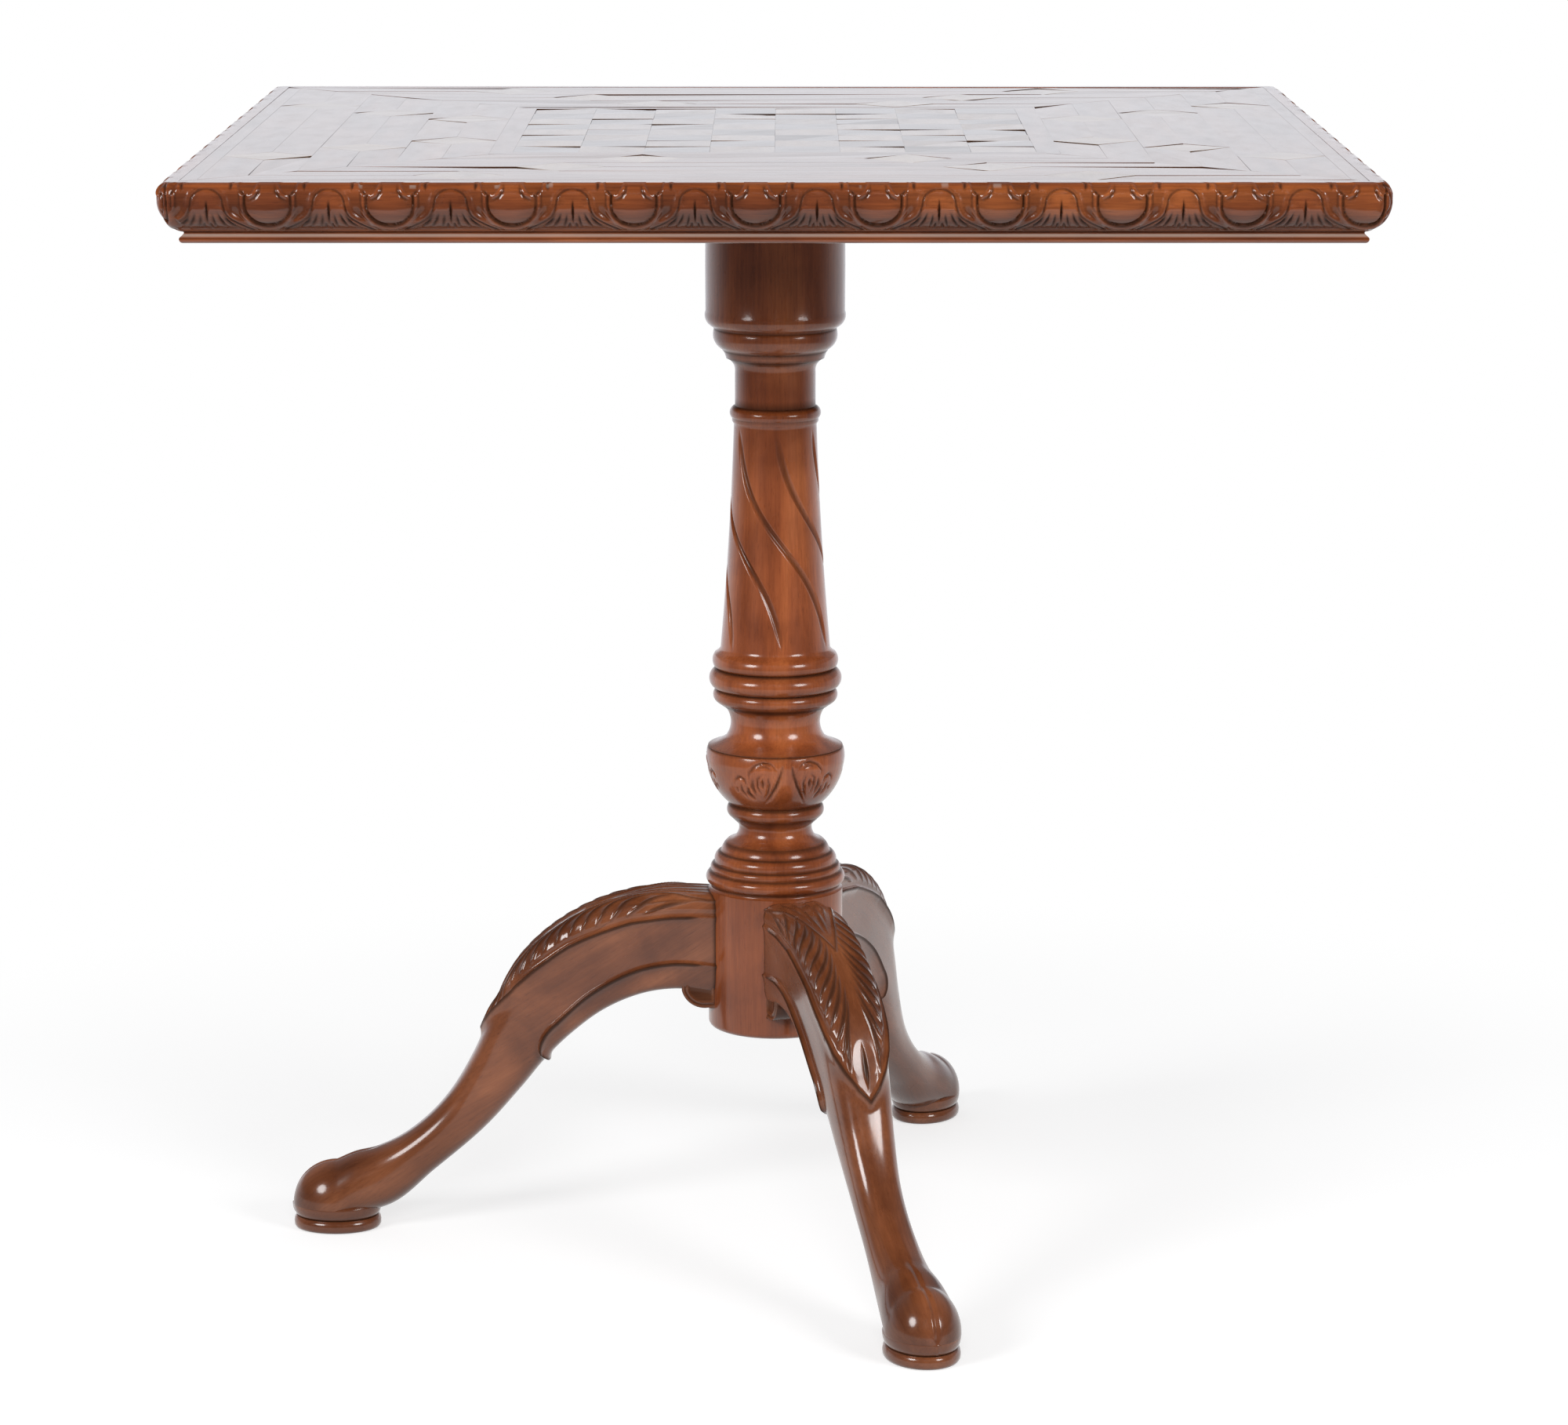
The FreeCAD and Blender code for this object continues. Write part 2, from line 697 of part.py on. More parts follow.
save("ground_boards", *ground_boards())
for name, side in zip(("front", "right", "back", "left"), four_sides(edge_moulding())):
    save("edge_moulding_" + name, side)
save("chess_dark_squares", *chess_squares(0))
save("chess_light_squares", *chess_squares(1))
save("board_border", *mitred_strips(board_half, board_half + border_width))
all_diamonds = []
start = board_half + border_width
for name, place in zip(("inner", "middle", "outer"), diamond_places):
    save("parquetry_" + name, *strip_laths(start, place))
    all_diamonds += strip_diamonds(start, place)
    start += strip_width
save("parquetry_diamonds", *all_diamonds)
save("outer_band", *mitred_strips(field_half - band_width, field_half))

save("bearer_front", bearer(-1))
save("bearer_back", bearer(1))
save("bearer_screws", *bearer_screws())
save("bolt_plate", bolt_plate())
save("bolt_screws", *bolt_screws())
save("lock_bolt", lock_bolt())

save("tilt_block", tilt_block())
save("pintle_front", pintle(-1))
save("pintle_back", pintle(1))
save("keeper_plate", keeper_plate())
save("keeper_screws", *keeper_screws())

save("pillar", pillar())
save("tenon_wedge", tenon_wedge())
one_leg = leg()
for name, azimuth in leg_azimuths.items():
    save("leg_" + name, turned(one_leg, azimuth))
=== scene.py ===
import math
import random

import bmesh
import bpy
import numpy as np
from mathutils import Matrix, Vector


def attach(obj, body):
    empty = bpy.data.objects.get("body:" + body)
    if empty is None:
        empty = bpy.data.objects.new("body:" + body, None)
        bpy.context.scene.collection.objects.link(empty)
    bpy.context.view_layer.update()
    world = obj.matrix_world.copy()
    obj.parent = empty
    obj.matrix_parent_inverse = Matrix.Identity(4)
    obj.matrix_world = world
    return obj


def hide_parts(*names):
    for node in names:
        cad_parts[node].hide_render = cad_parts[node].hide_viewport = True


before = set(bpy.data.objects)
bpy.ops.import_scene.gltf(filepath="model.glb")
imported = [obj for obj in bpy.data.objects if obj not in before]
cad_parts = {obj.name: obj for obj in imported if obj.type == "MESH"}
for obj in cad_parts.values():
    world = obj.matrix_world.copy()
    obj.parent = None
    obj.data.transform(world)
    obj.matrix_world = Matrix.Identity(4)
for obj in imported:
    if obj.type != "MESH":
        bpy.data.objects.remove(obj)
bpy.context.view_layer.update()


# PILLAR
# One length of mahogany, turned between centres: drum, ovolo, neck, shaft, beads, bowl, rings and hub.
# Six lazy spiral flutes are cut in the shaft and scrolled leaves in the bowl, then it is french polished.
def arc_points(start, bend, end, steps):
    """Points after start on the arc that runs from start through bend to end."""
    (ax, ay), (bx, by), (cx, cy) = start, bend, end
    twice = 2 * (ax * (by - cy) + bx * (cy - ay) + cx * (ay - by))
    a, b, c = ax * ax + ay * ay, bx * bx + by * by, cx * cx + cy * cy
    mx = (a * (by - cy) + b * (cy - ay) + c * (ay - by)) / twice
    my = (a * (cx - bx) + b * (ax - cx) + c * (bx - ax)) / twice
    first = math.atan2(ay - my, ax - mx)
    turn = (math.atan2(cy - my, cx - mx) - first) % math.tau
    through = (math.atan2(by - my, bx - mx) - first) % math.tau
    if through > turn:
        turn -= math.tau
    radius = math.hypot(ax - mx, ay - my)
    angles = [first + turn * step / steps for step in range(1, steps + 1)]
    return [(mx + radius * math.cos(angle), my + radius * math.sin(angle)) for angle in angles]


def nearest(along, across, path):
    """Distance from each place to a line through points, and the share of the line run to get there."""
    lengths = [math.dist(a, b) for a, b in zip(path, path[1:])]
    gap = np.full_like(along, 1e6)
    share = np.zeros_like(along)
    run = 0.0
    for a, b, length in zip(path, path[1:], lengths):
        step = ((b[0] - a[0]) / length, (b[1] - a[1]) / length)
        reach = np.clip((along - a[0]) * step[0] + (across - a[1]) * step[1], 0, length)
        aside = np.hypot(along - a[0] - reach * step[0], across - a[1] - reach * step[1])
        share = np.where(aside < gap, (run + reach) / sum(lengths), share)
        gap = np.minimum(gap, aside)
        run += length
    return gap, share


def gouge(along, across, path, width, depth, lean=1.0):
    """Depth of a cut along a path of points, tapered to both ends, and widest late if it leans."""
    gap, share = nearest(along, across, path)
    swell = np.sin(np.pi * np.clip(share, 0.03, 0.97) ** lean) ** 0.5
    return depth * swell * np.clip(1 - (gap / (width / 2 * swell)) ** 2, 0, 1)


def deepest(along, across, cuts):
    """Depth of several gouge cuts together."""
    return np.maximum.reduce([gouge(along, across, *cut) for cut in cuts])


def feed(tree, node, values):
    """Sets a node's inputs, or links them to other nodes' outputs."""
    for socket, value in values.items():
        if isinstance(value, bpy.types.NodeSocket):
            tree.links.new(value, node.inputs[socket])
        else:
            node.inputs[socket].default_value = value


def add_node(tree, kind, values=None, **settings):
    """A new shader node with its settings and inputs."""
    node = tree.nodes.new("ShaderNode" + kind)
    for setting, value in settings.items():
        setattr(node, setting, value)
    feed(tree, node, values or {})
    return node


def ranged(tree, value, low, high, start, end, easing="LINEAR"):
    """Goes from start to end while a value goes from low to high."""
    values = {"Value": value, "From Min": low, "From Max": high, "To Min": start, "To Max": end}
    return add_node(tree, "MapRange", values, interpolation_type=easing).outputs["Result"]


def ramp(tree, value, *stops):
    """The colour that a value has on a ramp of two or more stops."""
    node = add_node(tree, "ValToRGB", {"Fac": value})
    elements = node.color_ramp.elements
    for element, (position, colour) in zip(elements, (stops[0], stops[-1])):
        element.position = position
        element.color = (*colour, 1)
    for position, colour in stops[1:-1]:
        elements.new(position).color = (*colour, 1)
    return node.outputs["Color"]


# The dark of wax in the cuts together with painted shade in the recesses, and the pale of worn polish
# together with painted highlights
wax_and_shade_dark = (0.026, 0.013, 0.008, 1)
worn_and_highlit_wood = (0.40, 0.32, 0.27, 1)


def polished_wood(name, tones, roughness, coat, sheen, along_x=False, streak=0.8, mottle=0.56):
    """Wood with figure, fibres and pores along its grain, dark with wax and painted shade in hollows, pale
    with wear and painted highlights.
    """
    material = bpy.data.materials.new(name)
    material.use_nodes = True
    tree = material.node_tree
    if along_x:
        source = add_node(tree, "TexCoord").outputs["Object"]
    else:
        source = add_node(tree, "Attribute", attribute_name="grain").outputs["Vector"]

    def grain(scale, detail, distortion):
        stretch = add_node(tree, "Mapping", {"Vector": source, "Scale": scale}).outputs["Vector"]
        values = {"Vector": stretch, "Scale": 1.0, "Detail": detail, "Distortion": distortion}
        return add_node(tree, "TexNoise", values).outputs["Fac"]

    def mix(kind, share, first, second):
        values = {0: share, 6: first, 7: second}
        return add_node(tree, "Mix", values, data_type="RGBA", blend_type=kind).outputs[2]

    figure = grain((5, 42, 42), 3.0, 0.5)
    colour = ramp(tree, figure, (0.30, tones[0]), (0.50, tones[1]), (0.72, tones[2]))
    fibres = grain((26, 620, 620), 2.0, 0.2)
    fibre_tone = ramp(tree, fibres, (0.30, (0.74, 0.70, 0.68)), (0.70, (1.16, 1.18, 1.20)))
    colour = mix("MULTIPLY", streak, colour, fibre_tone)
    pores = grain((110, 1700, 1700), 1.0, 0.0)
    pore_tone = ramp(tree, pores, (0.26, (0.45, 0.40, 0.38)), (0.36, (1, 1, 1)))
    colour = mix("MULTIPLY", 0.5, colour, pore_tone)
    patina = grain((16, 16, 16), 4.0, 0.4)
    patina_tone = ramp(tree, patina, (0.32, (0.55, 0.47, 0.42)), (0.62, (1.13, 1.13, 1.13)))
    colour = mix("MULTIPLY", mottle, colour, patina_tone)
    # The hollow attribute darkens the colour with wax and painted shade, and dulls the polish there
    hollow = add_node(tree, "Attribute", attribute_name="hollow").outputs["Fac"]
    colour = mix("MIX", hollow, colour, wax_and_shade_dark)
    # Pale for worn polish, and for the highlights painted on the carved edge's fascia
    wear_and_highlight = add_node(tree, "Attribute", attribute_name="wear_and_highlight").outputs["Fac"]
    colour = mix("MIX", wear_and_highlight, colour, worn_and_highlit_wood)
    bump = add_node(tree, "Bump", {"Height": fibres, "Strength": 0.1, "Distance": 0.0002})
    polish = grain((30, 90, 90), 3.0, 0.0)
    feed(tree, tree.nodes["Principled BSDF"], {
        "Base Color": colour,
        "IOR": 1.5,
        "Roughness": ranged(tree, polish, 0.3, 0.7, roughness * 0.8, roughness * 1.2),
        "Specular IOR Level": ranged(tree, hollow, 0.0, 1.0, sheen, 0.0),
        "Coat Weight": ranged(tree, hollow, 0.0, 1.0, coat, 0.0),
        "Coat Roughness": roughness * 0.5,
        "Normal": bump.outputs["Normal"],
    })
    return material


def show(name, data):
    """A new object in the scene."""
    shown = bpy.data.objects.new(name, data)
    bpy.context.scene.collection.objects.link(shown)
    return shown


millimetre = 0.001


def settle(name, shape, material, body, node, crisp=50):
    """Brings a piece made in millimetres into the frame, finished and fixed to its body."""
    bmesh.ops.recalc_face_normals(shape, faces=shape.faces)
    bmesh.ops.scale(shape, vec=(millimetre, millimetre, millimetre), verts=shape.verts)
    mesh = bpy.data.meshes.new(name)
    shape.to_mesh(mesh)
    shape.free()
    mesh.shade_smooth()
    mesh.set_sharp_from_angle(angle=math.radians(crisp))
    mesh.materials.append(material)
    piece = show(name, mesh)
    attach(piece, body)
    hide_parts(node)


mahogany_tones = ((0.225, 0.055, 0.017), (0.330, 0.085, 0.025), (0.415, 0.120, 0.036))
mahogany = polished_wood("polished_mahogany", mahogany_tones, 0.30, 0.9, 0.2, streak=0.55, mottle=0.8)

hub_top = 238.0
hub_radius = 45.3
hub_bottom = 142.5
shaft_foot = 402.5
shaft_foot_radius = 36.7
shaft_top = 553.5
drum_top = 679.0
drum_foot = 627.0
drum_radius = 46.2
neck_radius = 26.8
pillar_columns = 300
# The turning from the top down, in groups measured from a radius and height. Each run gives its steps and
# its end, out and up from there in millimetres, or the bend and the end of an arc.
turning = (
    (drum_radius, drum_top, ((1, (0.0, 0.0)), (2, (0.15, -20.0)))),
    (drum_radius, drum_foot, (
        (3, (0.0, 2.0)),
        (8, (-1.0, -5.8), (-4.4, -8.5)),
        (1, (-5.6, -10.0)),
        (12, (-5.4, -17.2), (-10.4, -23.3)),
        (2, (-12.4, -25.8)),
    )),
    (neck_radius, drum_foot, (
        (2, (5.8, -29.5)),
        (6, (1.6, -32.6), (0.0, -39.0)),
        (4, (0.0, -61.4)),
        (12, (3.5, -65.6), (1.9, -69.6)),
        (1, (1.9, -71.6)),
    )),
    (neck_radius, shaft_top, ((2, (0.7, 0.0)),)),
    (shaft_foot_radius, shaft_foot, (
        (84, (-5.6, 74.0), (0.0, 0.0)),
        (4, (1.6, -2.0), (4.0, -3.8)),
        (8, (5.4, -7.5), (4.4, -12.2)),
        (2, (2.8, -13.6)),
        (14, (7.7, -20.6), (2.8, -27.6)),
        (2, (4.2, -29.0)),
        (8, (5.0, -32.6), (2.6, -36.4)),
        (3, (-3.4, -40.5)),
        (14, (-6.7, -49.5), (-3.0, -61.0)),
        (7, (3.4, -64.6), (8.5, -66.5)),
        (1, (8.2, -67.2)),
        (1, (9.0, -67.9)),
        (12, (9.9, -72.5), (9.2, -79.0)),
        (40, (3.6, -95.0), (-6.1, -106.0)),
        (9, (-4.0, -110.5), (-6.4, -115.0)),
    )),
    (hub_radius, hub_top, (
        (2, (-20.7, 44.0)),
        (9, (-20.0, 38.0), (-12.8, 32.5)),
        (5, (-9.7, 28.6), (-8.7, 25.9)),
        (1, (-8.2, 25.4)),
        (8, (-4.6, 22.0), (-4.6, 17.9)),
        (1, (-4.2, 17.4)),
        (5, (-1.6, 15.0), (-2.0, 12.6)),
        (1, (-1.7, 12.1)),
        (9, (1.5, 8.0), (-1.3, 3.4)),
        (4, (-1.9, 1.6), (0.0, 0.0)),
    )),
    (hub_radius, hub_bottom, ((6, (0.0, 4.0)), (5, (-1.2, 1.2), (-4.0, 0.0)))),
    (0.0, hub_bottom, ((3, (0.0, 0.0)),)),
)
outline = [(0.0, drum_top)]
for base_radius, base_height, runs in turning:
    for steps, *points in runs:
        start = outline[-1]
        ends = [(base_radius + out, base_height + up) for out, up in points]
        if len(ends) == 2:
            outline += arc_points(start, ends[0], ends[1], steps)
        else:
            for step in range(1, steps + 1):
                outline.append(tuple(a + (b - a) * (step / steps) for a, b in zip(start, ends[0])))

pillar = bmesh.new()
hollow = pillar.verts.layers.float.new("hollow")
grain = pillar.verts.layers.float_vector.new("grain")
verts = [pillar.verts.new((radius, 0, height)) for radius, height in outline]
edges = [pillar.edges.new(pair) for pair in zip(verts, verts[1:])]
bmesh.ops.spin(
    pillar, geom=verts + edges, axis=(0, 0, 1), cent=(0, 0, 0), angle=math.tau,
    steps=pillar_columns, use_merge=True,
)
bmesh.ops.remove_doubles(pillar, verts=pillar.verts, dist=0.001)

# The columns of faces are twisted with the flutes, so that each flute runs straight down its own columns
flute_count = 6
flute_top = shaft_top - 3.0
flute_foot = shaft_foot + 2.0
flute_turn = math.radians(126)
flute_start = math.radians(-148)
flute_slant = 0.9
flute_depth = 1.7
flute_half_width = 2.6
places = np.array([vert.co for vert in pillar.verts])
radius = np.hypot(places[:, 0], places[:, 1])
angle = np.arctan2(places[:, 1], places[:, 0])
height = places[:, 2]
share = (flute_top - height) / (flute_top - flute_foot)
on_shaft = (share > 0) & (share < 1)
share = np.clip(share, 0, 1)
spacing = math.tau / flute_count
across = ((angle - flute_start + spacing / 2) % spacing - spacing / 2) * radius * flute_slant
swell = np.maximum(1 - np.abs(2 * share - 1) ** 6, 1e-6)
flute = flute_depth * swell * np.clip(1 - across ** 2 / (flute_half_width ** 2 * swell), 0, 1)
cut = np.where(on_shaft, flute, 0)
angle = angle + flute_turn * (share - 0.10 * np.sin(math.tau * share))

# Three pairs of mirrored leaves round the bowl, each pair about a plain pointed tongue. Each cut is a path of
# millimetres aside from the tongue and down from the rim, a width and a depth.
bowl_rim = shaft_foot - 67.0
bowl_foot = shaft_foot - 106.0
bowl_radius = 42.0
tongue_angle = math.radians(-80)
leaf_cuts = (
    (((2.4, 4.0), (4.2, 12.0), (7.0, 20.0), (11.0, 27.5), (15.0, 33.0)), 2.8, 1.43),
    (((6.4, 8.4), (10.0, 4.2), (15.0, 3.4), (20.0, 5.6), (23.6, 10.0), (24.2, 15.0)), 2.4, 1.3),
    (((9.4, 7.6), (14.0, 5.6), (19.0, 7.4)), 2.6, 0.845),
    (((12.4, 12.0), (11.0, 18.0), (12.4, 25.0), (15.5, 30.0)), 2.0, 1.105),
    (((15.0, 11.0), (18.6, 14.5), (18.8, 20.5), (16.4, 26.0)), 2.0, 1.105),
    (((15.2, 14.5), (15.6, 21.5)), 2.6, 1.235),
    (((21.6, 14.6), (22.4, 20.5), (20.4, 26.4)), 3.0, 1.3),
    (((26.2, 20.0), (27.2, 15.6), (30.8, 13.7), (34.0, 16.2), (34.6, 19.6)), 2.2, 1.17),
    (((25.6, 20.4), (25.6, 25.4), (22.0, 30.0)), 3.2, 1.43),
    (((30.0, 18.6), (30.4, 23.6), (27.4, 28.4)), 2.4, 1.17),
    (((34.2, 21.4), (33.4, 25.6)), 2.0, 0.845),
)
on_bowl = (height < bowl_rim - 1) & (height > bowl_foot) & (radius > shaft_foot_radius - 8)
third = math.tau / 3
out = np.abs((angle - tongue_angle + third / 2) % third - third / 2) * bowl_radius
down = bowl_rim - height
cut = np.where(on_bowl, np.maximum(cut, deepest(out, down, leaf_cuts)), cut)

# Wax and painted shade lie in the flutes, the leaf cuts and the quirks between the beads. A group of quirks
# has the height it is measured from, the strength and spread of its haze, the strength of its line, and
# heights with widths.
quirk_groups = (
    (shaft_foot, 0.45, 2.4, 0.85, (
        (-13.6, 1.4), (-27.6, 1.4), (-38.6, 2.4), (-67.2, 0.8), (-106.5, 1.6), (-116.0, 2.0),
    )),
    (drum_foot, 0.0, 1.0, 0.75, ((-9.6, 1.2), (-24.6, 1.4), (-30.5, 1.6), (-61.4, 1.2), (-70.2, 0.7))),
    (hub_top, 0.40, 2.2, 0.80, ((31.0, 1.3), (25.2, 0.9), (17.2, 0.9), (12.0, 0.9), (2.6, 1.5))),
)
most_wax_and_shade = 0.9
# Wax with painted shade in the cuts and quirks, each quirk's haze of it spreading out from its line
toning = np.where(on_shaft, 0.36 * cut, 0.55 * cut)
for base_height, haze, spread, line, quirks in quirk_groups:
    for offset, width in quirks:
        away = np.abs(height - base_height - offset) / width
        toning = np.maximum(toning, np.maximum(haze * np.exp(-away / spread), line * np.exp(-away ** 2)))
places[:, 0] = (radius - cut) * np.cos(angle)
places[:, 1] = (radius - cut) * np.sin(angle)
for vert, place, dark in zip(pillar.verts, places, toning):
    vert.co = place
    vert[grain] = vert.co.zxy * millimetre
    vert[hollow] = min(dark, most_wax_and_shade)
settle("turned_pillar", pillar, mahogany, "base", "pillar")


# LEGS
# Three cabriole legs of solid mahogany, dovetailed up into the hub. Each is bandsawn, shaped and carved: an
# acanthus leaf over the knee, a rounded moulding along the underside, and a ridged foot on an oval pad.
def smooth_run(places, values, wanted):
    """Values led smoothly through the stations of a run."""
    slopes = np.gradient(values, places, axis=0)
    index = np.clip(np.searchsorted(places, wanted) - 1, 0, len(places) - 2)
    span = (places[index + 1] - places[index])[:, None]
    share = (wanted - places[index])[:, None] / span
    rest = 1 - share
    low = (1 + 2 * share) * rest ** 2 * values[index] + share * rest ** 2 * span * slopes[index]
    high = (3 - 2 * share) * values[index + 1] - rest * span * slopes[index + 1]
    return low + share ** 2 * high


def run_lengths(points):
    """How far along a chain of points each one lies."""
    return np.concatenate(([0], np.cumsum(np.linalg.norm(np.diff(points, axis=0), axis=1))))


def step_up(value, low, high):
    """0 below low, 1 above high, eased between them."""
    share = np.clip((value - low) / (high - low), 0, 1)
    return share * share * (3 - 2 * share)


def groove(distance, width, depth):
    """Depth of a V-shaped groove, from the distance to its middle line."""
    return depth * np.clip(1 - np.abs(distance) / (width / 2), 0, 1)


def rounded_quirk(gap, depth, radius):
    """Depth of a groove with one steep wall below zero and a rounded shoulder above it."""
    shoulder = np.clip(1 - gap / radius, 0, 1) ** 2
    wall = step_up(gap, -1.9, 0.0)
    return depth * np.where(gap > 0, shoulder, wall)


def softened(field):
    """Depths each led towards their neighbours', because gouge and polish leave no hard steps."""
    padded = np.pad(field, 1, mode="edge")
    beside = padded[:-2, 1:-1] + padded[2:, 1:-1] + padded[1:-1, :-2] + padded[1:-1, 2:]
    return (beside + 4 * field) / 8


def made_of(kind, made):
    """The verts, edges or faces among the things that an operator made."""
    return [item for item in made["geom"] if isinstance(item, kind)]


def carved_sheet(places, relief):
    """A grid of quads laid on a net of places, each pushed out along its normal by the relief."""
    rows, columns = places.shape[:2]
    normals = np.cross(np.gradient(places, axis=0), np.gradient(places, axis=1))
    normals /= np.maximum(np.linalg.norm(normals, axis=2, keepdims=True), 1e-9)
    moved = places + normals * relief[:, :, None]
    sheet = bmesh.new()
    bmesh.ops.create_grid(sheet, x_segments=columns - 1, y_segments=rows - 1, size=1)
    for vert in sheet.verts:
        column = round((vert.co.x + 1) / 2 * (columns - 1))
        row = round((vert.co.y + 1) / 2 * (rows - 1))
        vert.index = row * columns + column
    sheet.verts.sort()
    for vert, place in zip(sheet.verts, moved.reshape(-1, 3)):
        vert.co = place
    return sheet


leg_azimuths = {"left": 180.0, "front": -72.0, "back": 68.5}
leg_width = 42.0
foot_reach = 299.5
foot_half_length = 30.0
foot_half_width = 24.5
foot_height = 46.5
foot_belly = 17.0
foot_low = 10.0
knee_end = 196.0
knee_rows = 262
ankle_rows = 60
toe_rows = 24
# Reach and height of the top line and of the underside, the width, how square the section is, and its belly
leg_stations = np.array((
    (36.3, 235.5, 36.3, 166.0, 42.0, 7.0, 0.50),
    (79.3, 235.3, 67.3, 170.0, 42.0, 7.0, 0.50),
    (113.3, 227.6, 90.3, 166.4, 43.0, 6.0, 0.50),
    (145.3, 211.4, 115.3, 155.4, 44.0, 5.0, 0.50),
    (171.3, 188.0, 137.3, 138.5, 43.0, 4.0, 0.50),
    (190.8, 154.8, 156.3, 119.0, 40.0, 3.0, 0.50),
    (205.3, 122.5, 172.3, 99.2, 36.0, 2.7, 0.50),
    (224.3, 91.5, 197.3, 71.0, 32.0, 2.4, 0.50),
    (250.8, 66.5, 232.3, 40.6, 33.0, 2.3, 0.50),
    (272.5, 55.5, 262.5, 16.2, 38.0, 2.2, 0.45),
    (289.5, 51.0, 289.5, 10.0, 46.0, 2.1, 0.30),
    (299.5, 46.5, 299.5, 10.0, 49.0, 2.0, 0.20),
))
distances = run_lengths((leg_stations[:, 0:2] + leg_stations[:, 2:4]) / 2)
knee_places = np.linspace(0, knee_end, knee_rows)
ankle_places = np.linspace(knee_end, distances[-1], ankle_rows)[1:]
leg_rows = list(smooth_run(distances, leg_stations, np.concatenate((knee_places, ankle_places))))
for step in range(1, toe_rows + 1):
    turn = math.pi / 2 * step / toe_rows
    reach = foot_reach + foot_half_length * math.sin(turn)
    close = max(math.cos(turn), 0.001)
    top = foot_belly + (foot_height - foot_belly) * close
    under = foot_belly + (foot_low - foot_belly) * close
    leg_rows.append((reach, top, reach, under, 2 * foot_half_width * close, 2.0, 0.20))
leg_rows = np.array(leg_rows)

# Millimetres from the hub along the top line and the underside, and the edges of the leaf and the moulding
top_run = run_lengths(leg_rows[:, 0:2])
top_run -= np.interp(hub_radius, leg_rows[:, 0], top_run)
under_run = run_lengths(leg_rows[:, 2:4])
under_run -= np.interp(hub_radius, leg_rows[:, 2], under_run)
leaf_tip = 196.0
leaf_runs = np.linspace(-20.0, leaf_tip, 109)
leaf_outs = np.interp(
    leaf_runs,
    (45.0, 75.0, 100.0, 122.0, 145.0, 160.0, 175.0, 188.0, leaf_tip),
    (31.5, 30.6, 29.0, 26.6, 22.6, 18.6, 12.8, 6.2, 0.0),
)
lobe_start = 8.0
lobe_length = 48.0
lobes = np.abs(np.sin(math.pi * (leaf_runs - lobe_start) / lobe_length)) ** 0.8
leaf_outs += 0.6 * lobes * (leaf_runs > lobe_start) * (1 - step_up(leaf_runs, 140.0, 168.0))
band_round = 104.0
band_tip = 126.0
band_edge = np.interp(under_run, (0.0, 40.0, 80.0, 108.0), (38.0, 36.0, 32.5, 29.0))
band_end = np.clip((under_run - band_round) / (band_tip - band_round), 0, 1)
band_edge = np.where(under_run > band_round, 17.0 + 12.5 * np.sqrt(1 - band_end ** 2), band_edge)

# The net over the leg, whose columns keep to those two edges as far as the knee and then spread evenly
leg_columns = 260
edge_margin = 4.0
least_leaf = 7.0
column_shares = np.linspace(-1, 1, leg_columns + 1)
column_marks = np.array((0.0, 0.40, 0.56, 0.66, 0.84, 1.0))
angles = np.linspace(-math.pi / 2, 1.5 * math.pi, 1441)
net = np.zeros((len(leg_rows), leg_columns + 1, 3))
around = np.zeros((len(leg_rows), leg_columns + 1))
half_girth = np.zeros((len(leg_rows), 1))
for number, (top_x, top_z, under_x, under_z, width, squareness, belly) in enumerate(leg_rows):
    across = np.sign(np.cos(angles)) * np.abs(np.cos(angles)) ** (2 / squareness) * width / 2
    lift = np.sign(np.sin(angles)) * np.abs(np.sin(angles)) ** (2 / squareness)
    share = belly + lift * np.where(lift > 0, 1 - belly, belly)
    tall = math.hypot(top_x - under_x, top_z - under_z)
    lengths = run_lengths(np.stack((across, share * tall), axis=1))
    half = lengths[-1] / 2
    half_girth[number] = half
    leaf_at = max(np.interp(top_run[number], leaf_runs, leaf_outs), least_leaf)
    band_at = half - band_edge[number]
    edge_marks = [mark + side for mark in (leaf_at, band_at) for side in (-edge_margin, edge_margin)]
    plain = step_up(top_run[number], 200.0, 235.0)
    marks = (1 - plain) * np.array([0.0] + edge_marks + [half]) + plain * half * column_marks
    around[number] = np.sign(column_shares) * np.interp(np.abs(column_shares), column_marks, marks)
    share = np.interp(half + around[number], lengths, share)
    net[number, :, 0] = under_x + (top_x - under_x) * share
    net[number, :, 1] = np.interp(half + around[number], lengths, across)
    net[number, :, 2] = under_z + (top_z - under_z) * share
along = np.repeat(top_run[:, None], leg_columns + 1, axis=1)
below = np.repeat(under_run[:, None], leg_columns + 1, axis=1)
out = np.abs(around)
inner = half_girth - out
rise = net[:, :, 2]

# Inside the leaf and inside the moulding these gaps are positive
on_leaf = (along < leaf_tip) & (out < np.interp(along, leaf_runs, leaf_outs))
leaf_gap = nearest(along, out, list(zip(leaf_runs, leaf_outs)))[0]
leaf_gap = np.where(on_leaf, leaf_gap, -leaf_gap)
band_gap = np.where(below < band_tip, band_edge[:, None] - inner, -30.0)
band_gap = np.minimum(band_gap, np.where(inner < 19.0, band_tip - below, 60.0))

